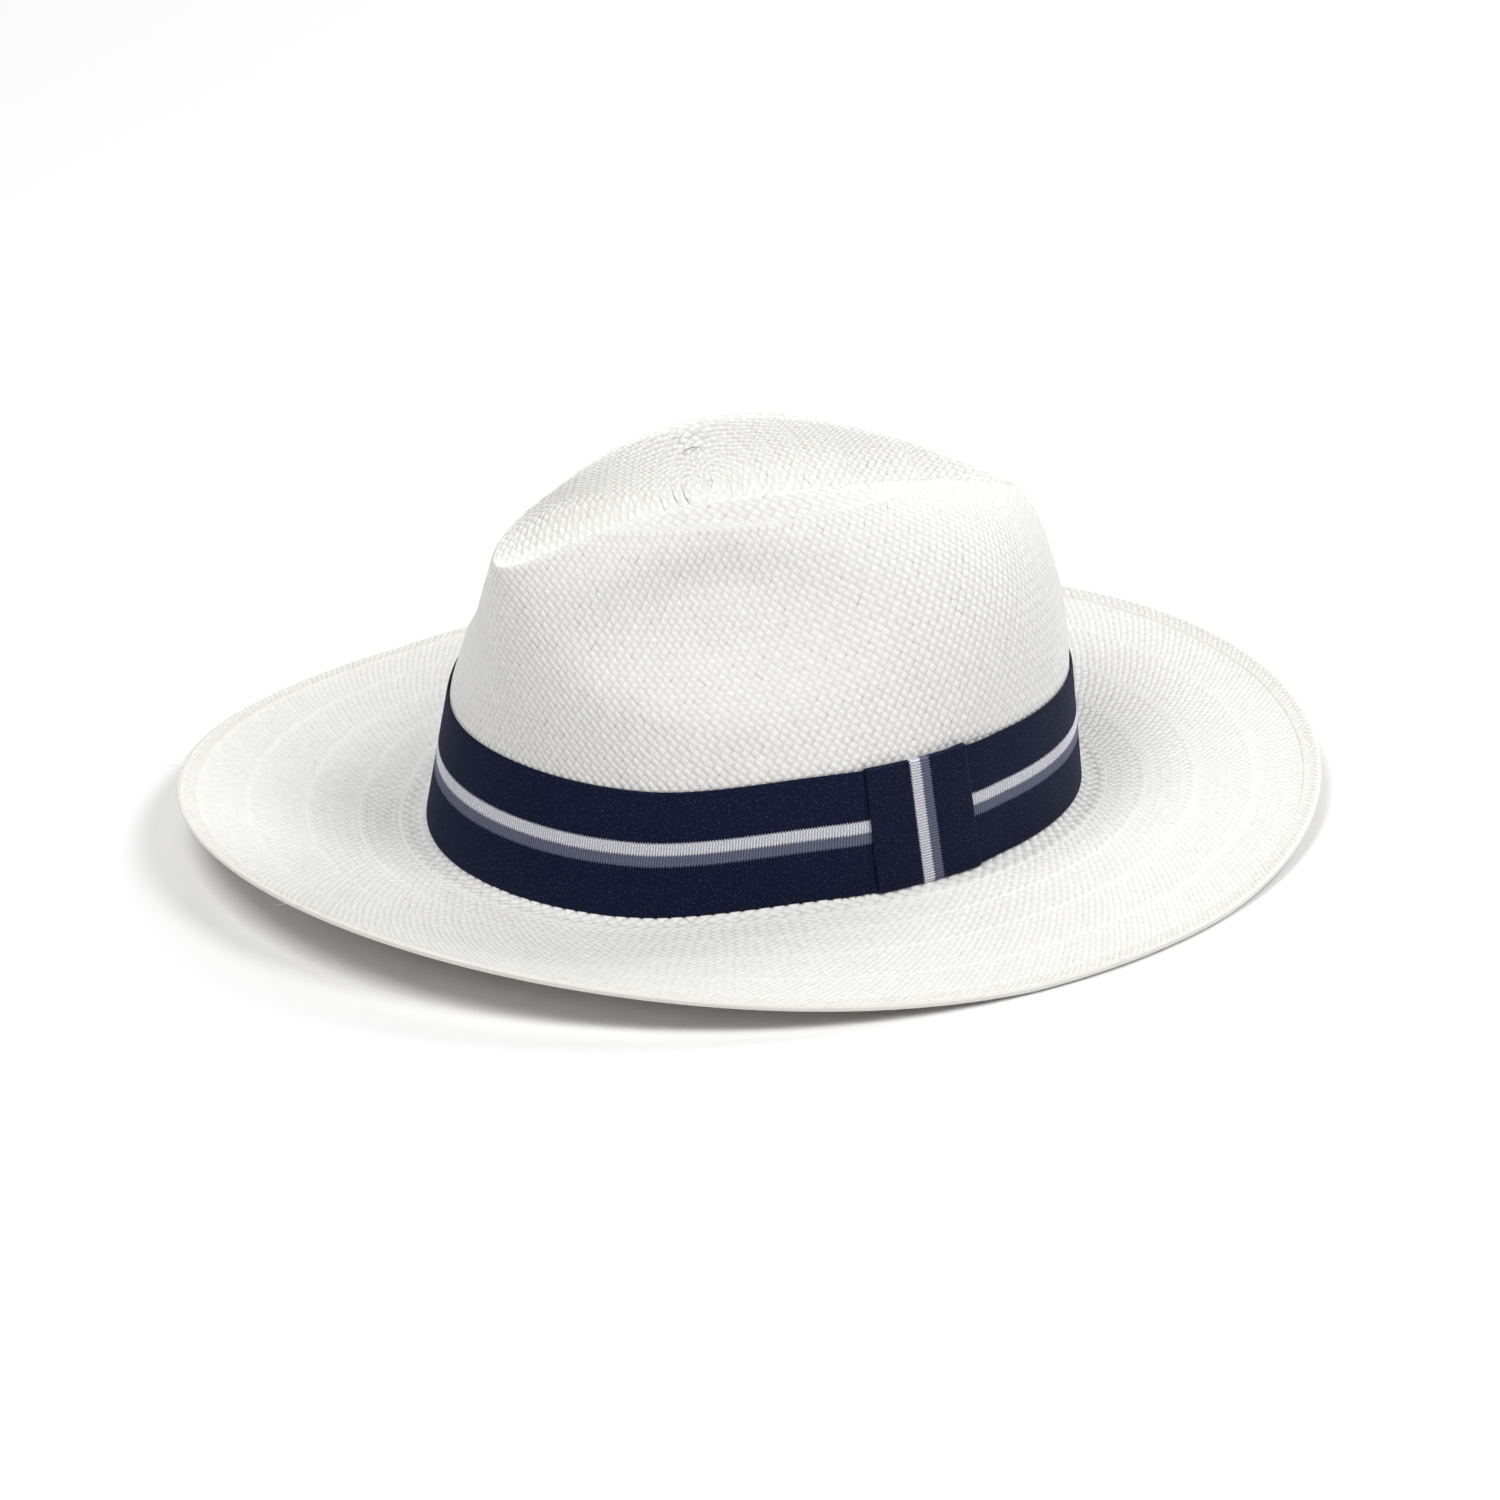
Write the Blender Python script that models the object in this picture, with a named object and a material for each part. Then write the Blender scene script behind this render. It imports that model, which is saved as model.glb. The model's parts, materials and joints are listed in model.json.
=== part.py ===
"""A straw fedora: woven crown and brim, back-woven edge, ribbon, keeper and sweatband.

The hat stands on a table as it is worn, front towards -Y and the wearer's left towards +X. The
origin is on the table under the middle of the hat. An angle around the hat is 0 at the front and
turns towards the wearer's left. Sizes are metres.
"""

import bpy
import numpy as np

MM = 0.001

# Head oval, measured on the straw's outside at the brim break
HALF_LENGTH = 102.5 * MM
HALF_WIDTH = 89.2 * MM
EGG = 0.03  # how much narrower the oval is in front than behind
FRONT_PULL = 2.0 * MM  # the front stands this much further back than the half length
FRONT_LEAN = 4.8 * MM  # and leans back by this much more at the ribbon's top
STRAW = 1.6 * MM
TIP_STRAW = 2.0 * MM  # measured upright, on the dent's sloping walls
GAP = 0.3 * MM  # clearance between touching pieces

# Brim break: height above the table, lower at the front and back than at the sides
BREAK_HEIGHT = 4.9 * MM
BREAK_SADDLE = 1.9 * MM
BREAK_PITCH = 0.2 * MM
BREAK_FRONT_DROP = 2.6 * MM  # lower on both sides of the front
BREAK_FRONT_RISE = 1.1 * MM  # and up again at the very front

# Brim and its doubled edge
BRIM_WIDTH = 72.3 * MM
BRIM_LONGER = 1.6 * MM  # wider than that in front and behind, narrower at the sides
RIM_HEIGHT = 7.7 * MM  # middle of the rim above the table
RIM_SADDLE = 7.5 * MM
RIM_PITCH = 3.7 * MM
EDGE_WIDTH = 6.2 * MM
EDGE_THICKNESS = 2.4 * MM
RIM_LEAST = 2.0 * MM  # lowest that the rim's upper face comes
PRESSED = 0.45 * MM  # an underside closer to the table than this is pressed flat on it

# Crown
BAND_ZONE = 38.5 * MM  # straight part behind the ribbon
BAND_TAPER = 0.964
RIDGE_FRONT = 93.0 * MM  # ends of the dent's ridge, from the middle of the hat
RIDGE_BACK = 97.0 * MM
RIDGE_NARROW = 20.5 * MM  # half width of the dent's outline in front and behind
RIDGE_WIDE = 34.0 * MM
CROWN_TOP = 113.8 * MM
TOP_PLACE = -25.0 * MM  # where the ridge is highest, front to back
FALL_FRONT = 3.0 / 1000 / MM  # how fast the ridge falls each way from there, per mm squared
FALL_BACK = 2.16 / 1000 / MM
DENT_DEPTH = 32.0 * MM
PINCH_DEPTH = 7.5 * MM
PINCH_ANGLE = 62.0
PINCH_SPREAD = (40.0, 33.0)  # degrees forwards and backwards of its middle
PINCH_LEVEL = 0.53  # share of the way from ribbon to ridge
PINCH_REACH = 0.36

# Ribbon
RIBBON_WIDTH = 37.2 * MM
RIBBON = 0.5 * MM
BAND_LOW = 1.05 * MM  # lower edge of the band above the brim break
KEEPER_ANGLE = 86.9
KEEPER_WIDTH = 36.0 * MM
BAND_SWELL = 0.85 * MM  # the band stands off the straw where the keeper runs behind it
BAND_JOIN_GAP = 1.2 * MM

# Sweatband
LEATHER = 0.9 * MM
SWEAT_LOW = 1.9 * MM
SWEAT_HIGH = 36.0 * MM
PIPING_RADIUS = 0.9 * MM
TAPE_WIDTH = 14.0 * MM
TAPE = 0.4 * MM
BOW_WIDTH = 30.0 * MM
THREAD_RADIUS = 0.25 * MM
THREAD_LEVEL = 4.5 * MM
STITCHES = 48
TAB_WIDTH = 12.0 * MM
TAB_ANGLE = 150.0

AROUND = 60  # columns around the crown
BRIM_AROUND = 72
SIDE_ROWS = 11
FOOT_ROW = 2  # where the crown's foot parts from its side, hidden behind the ribbon
DENT_SHARES = (0.92, 0.79, 0.62, 0.45, 0.28, 0.12)
STRAW_COLOUR = (0.83, 0.83, 0.79)
EDGE_COLOUR = (0.78, 0.77, 0.72)
NAVY = (0.009, 0.012, 0.035)
TAN = (0.42, 0.27, 0.15)
OFF_WHITE = (0.72, 0.70, 0.64)


def smooth_step(low, high, value):
    """0 below low, 1 above high, with a smooth rise between them."""
    share = np.clip((value - low) / (high - low), 0.0, 1.0)
    return share * share * (3.0 - 2.0 * share)


def degrees_from_front(angle):
    """0 at the front and 180 at the back, the same on both sides."""
    return np.degrees(np.abs((angle + np.pi) % (2.0 * np.pi) - np.pi))


def break_height(angle):
    turn = degrees_from_front(angle)
    drop = BREAK_FRONT_DROP * smooth_step(65.0, 35.0, turn)
    rise = BREAK_FRONT_RISE * smooth_step(40.0, 0.0, turn)
    saddle = BREAK_SADDLE * np.cos(2.0 * angle)
    return BREAK_HEIGHT - saddle + BREAK_PITCH * np.cos(angle) - drop + rise


def in_front(angle):
    """1 at the front and 0 at the back."""
    return (0.5 + 0.5 * np.cos(angle)) ** 1.5


def oval(angle, height):
    """The straw's outside at a height above the brim break, within the ribbon's zone."""
    scale = 1.0 - (1.0 - BAND_TAPER) * height / BAND_ZONE
    across = HALF_WIDTH * scale * np.sin(angle) * (1.0 - EGG * np.cos(angle))
    along = -HALF_LENGTH * scale * np.cos(angle)
    along = along + (FRONT_PULL + FRONT_LEAN * height / BAND_ZONE) * in_front(angle)
    return np.stack([across, along, break_height(angle) + height], -1)


def outward(angle):
    """Level unit vector that points out of the head oval."""
    way = np.stack([np.sin(angle) / HALF_WIDTH, -np.cos(angle) / HALF_LENGTH, 0.0 * angle], -1)
    return way / np.linalg.norm(way, axis=-1, keepdims=True)


def ridge(angle):
    """The crest around the dent: a teardrop, pointed in front."""
    turn = degrees_from_front(angle)
    half = RIDGE_NARROW + (RIDGE_WIDE - RIDGE_NARROW) * smooth_step(45.0, 100.0, turn)
    along = -np.where(np.cos(angle) > 0.0, RIDGE_FRONT, RIDGE_BACK) * np.cos(angle)
    fall = np.where(along < TOP_PLACE, FALL_FRONT, FALL_BACK)
    height = CROWN_TOP - fall * (along - TOP_PLACE) ** 2
    return np.stack([half * np.sin(angle), along, height], -1)


def fullness(turn):
    """How far the side bulges between ribbon and ridge: 0 is straight, 1 a quarter round."""
    full = 0.10 + 0.14 * smooth_step(0.0, 45.0, turn)
    full = full + 0.70 * smooth_step(75.0, 118.0, turn)
    return full - 0.08 * smooth_step(130.0, 180.0, turn)


def crown_side(angle, share):
    """A point on the outside, from the ribbon's top at share 0 to the ridge at share 1."""
    low, high, turn = oval(angle, BAND_ZONE), ridge(angle), degrees_from_front(angle)
    full = fullness(turn)
    inwards = (1.0 - full) * share + full * (1.0 - np.cos(share * np.pi / 2.0))
    upwards = (1.0 - full) * share + full * np.sin(share * np.pi / 2.0)
    point = low + (high - low) * np.stack([inwards, inwards, upwards], -1)
    spread = np.where(turn < PINCH_ANGLE, PINCH_SPREAD[0] + 14.0 * (share - 0.5), PINCH_SPREAD[1])
    away = np.hypot((turn - PINCH_ANGLE) / spread, (share - PINCH_LEVEL) / PINCH_REACH)
    pinch = PINCH_DEPTH * (1.0 - smooth_step(0.2, 1.0, away))
    return point - outward(angle) * pinch[..., None]


def dent(angle, share):
    """A point in the dent, from the ridge at share 1 to its middle at share 0."""
    crest = ridge(angle)
    across, along = crest[..., 0] * share, crest[..., 1] * share
    reach = np.where(along < 0.0, RIDGE_FRONT, RIDGE_BACK)
    level = ridge(np.arccos(np.clip(-along / reach, -0.9999, 0.9999)))
    towards = np.clip(np.abs(across) / level[..., 0], 0.0, 1.0)
    depth = DENT_DEPTH * (1.0 - (along / reach) ** 2) ** 0.8
    height = level[..., 2] - depth * (1.0 - towards**2) ** 1.3
    return np.stack([across, along, height], -1)


def brim_top(angle, share):
    """A point on the brim's upper face, from the break at share 0 to the rim at share 1."""
    inner, turn = oval(angle, 0.0 * angle), degrees_from_front(angle)
    width = BRIM_WIDTH + BRIM_LONGER * np.cos(2.0 * angle)
    rim = RIM_HEIGHT + EDGE_THICKNESS / 2 + RIM_SADDLE * np.cos(2.0 * angle)
    rim = np.maximum(rim + RIM_PITCH * np.cos(angle), RIM_LEAST)
    bend = 1.0 + 0.8 * smooth_step(60.0, 20.0, turn) + 0.6 * smooth_step(120.0, 160.0, turn)
    point = inner + outward(angle) * (width * share)[..., None]
    point[..., 1] -= FRONT_PULL * in_front(angle) * share
    point[..., 2] = inner[..., 2] + (rim - inner[..., 2]) * np.maximum(share, 0.0) ** bend
    return point


def wall_point(angle, off, height):
    """A point at a distance off the straw's outside (negative is inside) and a height."""
    return oval(angle, height) + outward(angle) * np.asarray(off)[..., None]


def around(count):
    return np.arange(count) * 2.0 * np.pi / count


def plain_material(name, colour, roughness):
    material = bpy.data.materials.new(name)
    material.use_nodes = True
    shader = material.node_tree.nodes["Principled BSDF"]
    shader.inputs["Base Color"].default_value = (*colour, 1.0)
    shader.inputs["Roughness"].default_value = roughness
    shader.inputs["Metallic"].default_value = 0.0
    material.diffuse_color = (*colour, 1.0)
    return material


def add_piece(name, points, faces, material):
    """Makes one closed mesh object, smooth except at its sharp edges."""
    mesh = bpy.data.meshes.new(name)
    mesh.from_pydata([tuple(p) for p in points], [], faces)
    mesh.shade_smooth()
    mesh.set_sharp_from_angle(angle=np.radians(40.0))
    mesh.materials.append(material)
    mesh.validate()
    piece = bpy.data.objects.new(name, mesh)
    bpy.context.scene.collection.objects.link(piece)
    return piece


def ring_faces(low, high, count):
    """Quads between two closed rings, given by their first vertices, facing out of the hat."""
    return [
        (low + i, low + (i + 1) % count, high + (i + 1) % count, high + i) for i in range(count)
    ]


def closed_loop(name, rings, material):
    """A ring-shaped piece: rings is (profile point, column, xyz), closed both ways round."""
    profile, count = rings.shape[:2]
    faces = []
    for row in range(profile):
        faces += ring_faces(row * count, (row + 1) % profile * count, count)
    return add_piece(name, rings.reshape(-1, 3), faces, material)


def strip(name, rings, material):
    """A piece that runs part of the way round, with an end cap at each end."""
    profile, count = rings.shape[:2]
    faces = []
    for row in range(profile):
        low, high = row * count, (row + 1) % profile * count
        faces += [(low + i, low + i + 1, high + i + 1, high + i) for i in range(count - 1)]
    faces.append(tuple(row * count for row in range(profile)))
    faces.append(tuple(row * count + count - 1 for row in reversed(range(profile))))
    return add_piece(name, rings.reshape(-1, 3), faces, material)


def crown_walls():
    """Outer and inner rows of the whole crown, and the row just inside the ridge where it parts.

    The wall's thickness is measured across it on the side, and upright in the dent.
    """
    angle = around(AROUND)
    rows = [oval(angle, level + 0.0 * angle) for level in np.linspace(GAP, BAND_ZONE, 4)[:-1]]
    rows += [crown_side(angle, share + 0.0 * angle) for share in np.linspace(0.0, 1.0, SIDE_ROWS)]
    ridge_row = len(rows) - 1
    rows += [dent(angle, share + 0.0 * angle) for share in DENT_SHARES]
    outer = np.array(rows)
    upright = np.array([0.0, 0.0, 1.0])
    rising = np.gradient(outer, axis=0)
    level = outward(angle)[None] + 0.0 * outer
    towards = np.sum(rising * level, -1, keepdims=True)
    facing = level * rising[..., 2:] - upright * towards
    facing = facing / np.linalg.norm(facing, axis=-1, keepdims=True)
    facing[ridge_row] = facing[ridge_row - 1] + upright
    facing[ridge_row] /= np.linalg.norm(facing[ridge_row], axis=-1, keepdims=True)
    facing[ridge_row + 1 :] = upright
    thick = np.where(np.arange(len(rows)) > ridge_row, TIP_STRAW, STRAW)[:, None, None]
    thick = thick + 0.0 * facing[..., :1]
    thick[ridge_row] /= np.sum(facing[ridge_row] * facing[ridge_row - 1], -1, keepdims=True)
    inner = outer - facing * thick
    inner[0, :, 2] = outer[0, :, 2]
    return outer, inner, ridge_row + 1


def shortened(rows, end, by):
    """The rows with their first (0) or last (-1) one drawn back by a distance."""
    step = rows[1] - rows[0] if end == 0 else rows[-2] - rows[-1]
    rows = rows.copy()
    rows[end] += step * by / np.linalg.norm(step, axis=-1, keepdims=True)
    return rows


def crown_foot(material):
    """The straight foot of the crown, from the brim break up to behind the ribbon."""
    outer, inner, _ = crown_walls()
    walls = [shortened(rows[: FOOT_ROW + 1], -1, GAP / 2) for rows in (outer, inner)]
    return closed_loop("crown_foot", np.concatenate([walls[0], walls[1][::-1]]), material)


def crown_side_wall(material):
    """The side of the crown, from behind the ribbon up over the ridge."""
    outer, inner, parting = crown_walls()
    walls = [
        shortened(shortened(rows[FOOT_ROW : parting + 1], -1, GAP), 0, GAP / 2)
        for rows in (outer, inner)
    ]
    return closed_loop("crown_side", np.concatenate([walls[0], walls[1][::-1]]), material)


def crown_tip(material):
    """The top of the crown inside the ridge, pressed down into the dent."""
    outer, inner, parting = crown_walls()
    outer, inner = outer[parting:], inner[parting:]
    middle = dent(np.zeros(1), np.zeros(1))[0]
    points = np.concatenate([outer.reshape(-1, 3), inner.reshape(-1, 3), [middle, middle]])
    points[-1, 2] -= TIP_STRAW
    count, last = len(outer), len(points)
    faces = []
    for row in range(count - 1):
        faces += ring_faces(row * AROUND, (row + 1) * AROUND, AROUND)
        low = (count + row) * AROUND
        faces += [face[::-1] for face in ring_faces(low, low + AROUND, AROUND)]
    faces += ring_faces(count * AROUND, 0, AROUND)
    for i in range(AROUND):
        nxt, top, under = (i + 1) % AROUND, (count - 1) * AROUND, (2 * count - 1) * AROUND
        faces.append((top + i, top + nxt, last - 2))
        faces.append((under + nxt, under + i, last - 1))
    return add_piece("crown_tip", points, faces, material)


def brim_shell(name, shares, thickness, material):
    """A ring of the brim between two shares of its width, pressed flat where it rests."""
    angle = around(BRIM_AROUND)
    top = np.array([brim_top(angle, share + 0.0 * angle) for share in shares])
    under = top.copy()
    under[..., 2] -= thickness
    under[..., 2] = np.where(under[..., 2] < PRESSED, 0.0, under[..., 2])
    rings = np.concatenate([under, top[::-1]])
    return closed_loop(name, rings, material)


def brim(material):
    """From inside the head opening, under the crown's foot, to the doubled edge."""
    inner = -STRAW / BRIM_WIDTH
    outer = 1.0 - (EDGE_WIDTH + GAP) / BRIM_WIDTH
    shares = np.concatenate([[inner], np.linspace(0.0, outer, 8)])
    return brim_shell("brim", shares, STRAW, material)


def brim_edge(material):
    """The doubled edge, thicker than the brim, whose underside carries the hat."""
    shares = np.linspace(1.0 - EDGE_WIDTH / BRIM_WIDTH, 1.0, 3)
    return brim_shell("brim_edge", shares, EDGE_THICKNESS, material)


def keeper_half_angle():
    """Half the keeper's width as an angle, read off the oval where the keeper sits."""
    place, step = np.radians(KEEPER_ANGLE), 0.01
    ends = oval(np.array([place - step, place + step]), np.zeros(2))
    return KEEPER_WIDTH / np.linalg.norm(ends[1] - ends[0]) * step


def band_off(angle):
    """How far the band's inner face stands off the straw: more at the keeper's inner layer."""
    away = degrees_from_front(angle - np.radians(KEEPER_ANGLE))
    reach = np.degrees(keeper_half_angle())
    return GAP + BAND_SWELL * (1.0 - smooth_step(reach + 1.0, reach + 9.0, away))


def ribbon_band(material):
    """One turn of ribbon around the crown, its ends meeting under the keeper."""
    place, open_half = np.radians(KEEPER_ANGLE), BAND_JOIN_GAP / 2 / HALF_LENGTH
    angle = place + np.linspace(open_half, 2.0 * np.pi - open_half, 85)
    inner, outer = band_off(angle), band_off(angle) + RIBBON
    low, high = BAND_LOW + 0.0 * angle, BAND_LOW + RIBBON_WIDTH + 0.0 * angle
    corners = [(inner, low), (outer, low), (outer, high), (inner, high)]
    rings = np.array([wall_point(angle, off, height) for off, height in corners])
    return strip("ribbon_band", rings, material)


def ribbon_keeper(material):
    """A loop of ribbon around the band's join: in front of it, over, behind and under it."""
    place, half = np.radians(KEEPER_ANGLE), keeper_half_angle()
    angle = place + np.linspace(-half, half, 9)
    inside, outside = band_off(angle) - GAP, band_off(angle) + RIBBON + GAP
    low, high = BAND_LOW - GAP, BAND_LOW + RIBBON_WIDTH + GAP
    sheet = RIBBON
    inner = [(outside, high), (outside, low), (inside, low), (inside, high)]
    outer = [
        (outside + sheet, high + sheet),
        (outside + sheet, low - sheet),
        (inside - sheet, low - sheet),
        (inside - sheet, high + sheet),
    ]
    loops = [
        np.array([wall_point(angle, off, height + 0.0 * angle) for off, height in loop])
        for loop in (outer, inner)
    ]
    count, faces = len(angle), []
    for corner in range(4):
        for which, turned in ((0, True), (4, False)):
            low_row, high_row = (which + corner) * count, (which + (corner + 1) % 4) * count
            for i in range(count - 1):
                face = (low_row + i, low_row + i + 1, high_row + i + 1, high_row + i)
                faces.append(face[::-1] if turned else face)
        for end, turned in ((0, True), (count - 1, False)):
            a, b = corner * count + end, (corner + 1) % 4 * count + end
            face = (a, b, b + 4 * count, a + 4 * count)
            faces.append(face[::-1] if turned else face)
    return add_piece("ribbon_keeper", np.concatenate(loops).reshape(-1, 3), faces, material)


def inside_strip(angle, off, thickness, low, high):
    """Profile rings of a strip that lies inside the crown, low and high being heights."""
    corners = [(off - thickness, low), (off, low), (off, high), (off - thickness, high)]
    return np.array(
        [wall_point(angle, depth + 0.0 * angle, height + 0.0 * angle) for depth, height in corners]
    )


def sweatband(material):
    angle = around(AROUND)
    rings = inside_strip(angle, -STRAW - GAP, LEATHER, SWEAT_LOW, SWEAT_HIGH)
    return closed_loop("sweatband", rings, material)


def sweatband_piping(material):
    """A cord under the sweatband's lower edge, inside the head opening."""
    angle, turns = around(AROUND), around(6)
    middle = -STRAW - GAP - PIPING_RADIUS
    level = SWEAT_LOW - GAP - PIPING_RADIUS
    rings = np.array(
        [
            wall_point(
                angle,
                middle + PIPING_RADIUS * np.cos(turn) + 0.0 * angle,
                level + PIPING_RADIUS * np.sin(turn) + 0.0 * angle,
            )
            for turn in turns
        ]
    )
    return closed_loop("sweatband_piping", rings, material)


def back_angles(width, columns):
    """Angles centred on the back that span a width measured on the oval's inside."""
    half = width / 2 / HALF_WIDTH
    return np.pi + np.linspace(-half, half, columns)


def sweatband_tape(material):
    angle = back_angles(TAPE_WIDTH, 5)
    off = -STRAW - LEATHER - 2.0 * GAP
    rings = inside_strip(angle, off, TAPE, SWEAT_LOW + 6.0 * MM, SWEAT_HIGH - 2.0 * MM)
    return strip("sweatband_tape", rings, material)


def sweatband_bow(material):
    """A flat bow: wide at both ends, drawn in at its knot, on the foot of the tape."""
    angle = back_angles(BOW_WIDTH, 13)
    place = np.linspace(-1.0, 1.0, 13)
    half = (2.2 + 3.6 * np.abs(place) ** 0.7) * MM
    thick = (1.5 - 0.8 * np.abs(place)) * MM
    middle = SWEAT_LOW + 13.0 * MM
    off = -STRAW - LEATHER - TAPE - 3.0 * GAP
    rings = inside_strip(angle, off, thick, middle - half, middle + half)
    return strip("sweatband_bow", rings, material)


def sweatband_thread(material):
    """Running stitches near the sweatband's lower edge, as one wavy line of thread."""
    angle, turns = around(3 * STITCHES), around(4)
    off = -STRAW - LEATHER - 2.0 * GAP - THREAD_RADIUS
    wave = 0.35 * MM * np.cos(STITCHES * angle)
    rings = np.array(
        [
            wall_point(
                angle,
                off + THREAD_RADIUS * np.cos(turn) + 0.0 * angle,
                THREAD_LEVEL + wave + THREAD_RADIUS * np.sin(turn),
            )
            for turn in turns
        ]
    )
    return closed_loop("sweatband_thread", rings, material)


def size_tab(material):
    """A small blank folded tab that hangs from the sweatband's top edge."""
    half = TAB_WIDTH / 2 / HALF_LENGTH
    angle = np.radians(TAB_ANGLE) + np.linspace(-half, half, 3)
    off = -STRAW - LEATHER - 2.0 * GAP
    rings = inside_strip(angle, off, TAPE, SWEAT_HIGH - 11.0 * MM, SWEAT_HIGH - 0.5 * MM)
    return strip("size_tab", rings, material)


def clear_scene():
    for piece in list(bpy.data.objects):
        bpy.data.objects.remove(piece)


def build_hat():
    straw = plain_material("straw", STRAW_COLOUR, 0.5)
    edge = plain_material("straw_edge", EDGE_COLOUR, 0.55)
    ribbon = plain_material("ribbon", NAVY, 0.8)
    leather = plain_material("leather", TAN, 0.55)
    cotton = plain_material("cotton", OFF_WHITE, 0.8)
    crown_tip(straw)
    crown_side_wall(straw)
    crown_foot(straw)
    brim(straw)
    brim_edge(edge)
    ribbon_band(ribbon)
    ribbon_keeper(ribbon)
    sweatband(leather)
    sweatband_piping(leather)
    sweatband_tape(cotton)
    sweatband_bow(cotton)
    sweatband_thread(cotton)
    size_tab(cotton)


clear_scene()
build_hat()
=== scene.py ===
"""A white straw fedora with a striped ribbon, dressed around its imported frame.

The hat stands on a table with its front towards -Y and the wearer's left towards +X, in metres. A
turn around the hat is an angle from the front towards the wearer's left. The straw is real
relief: every place where one strand passes over another is a small raised tile of its own.
"""

import json
import logging
from dataclasses import dataclass
from enum import Enum

import bmesh
import bpy
import numpy as np
from mathutils import Euler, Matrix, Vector

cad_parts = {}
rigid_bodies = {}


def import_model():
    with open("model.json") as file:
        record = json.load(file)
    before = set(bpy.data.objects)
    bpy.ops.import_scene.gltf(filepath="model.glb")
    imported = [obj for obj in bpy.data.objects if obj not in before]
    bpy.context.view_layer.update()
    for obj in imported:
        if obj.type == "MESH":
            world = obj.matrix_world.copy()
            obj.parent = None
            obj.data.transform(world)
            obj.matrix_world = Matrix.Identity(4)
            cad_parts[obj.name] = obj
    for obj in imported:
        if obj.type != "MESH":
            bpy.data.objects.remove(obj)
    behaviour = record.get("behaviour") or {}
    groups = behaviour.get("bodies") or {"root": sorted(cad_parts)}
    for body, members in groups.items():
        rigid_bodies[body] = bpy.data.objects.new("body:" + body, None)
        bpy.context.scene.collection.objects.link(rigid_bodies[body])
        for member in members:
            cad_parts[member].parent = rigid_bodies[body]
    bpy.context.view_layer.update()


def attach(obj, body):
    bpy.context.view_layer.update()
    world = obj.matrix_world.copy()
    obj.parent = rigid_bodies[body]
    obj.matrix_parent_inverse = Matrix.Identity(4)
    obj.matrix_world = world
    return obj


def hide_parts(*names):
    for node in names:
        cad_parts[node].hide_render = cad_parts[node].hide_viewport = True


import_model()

log = logging.getLogger("fedora")
MM = 0.001
FULL_TURN = 2.0 * np.pi
RIB_PITCH = 0.85 * MM
Array = np.ndarray


def smooth_step(low: float, high: float, value: Array) -> Array:
    """Rises smoothly from 0 to 1 between two values.

    Args:
        low: where the result is 0.
        high: where the result is 1.
        value: the numbers to look up.

    Returns:
        The rise at each number.
    """
    share = np.clip((value - low) / (high - low), 0.0, 1.0)
    return share * share * (3.0 - 2.0 * share)


def from_front(turn: Array) -> Array:
    """Gives degrees away from the front, 0 to 180, the same on both sides."""
    return np.degrees(np.abs((turn + np.pi) % FULL_TURN - np.pi))


def unit(vectors: Array) -> Array:
    """Scales vectors along the last axis to length one."""
    return vectors / np.maximum(np.linalg.norm(vectors, axis=-1, keepdims=True), 1e-12)


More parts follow.
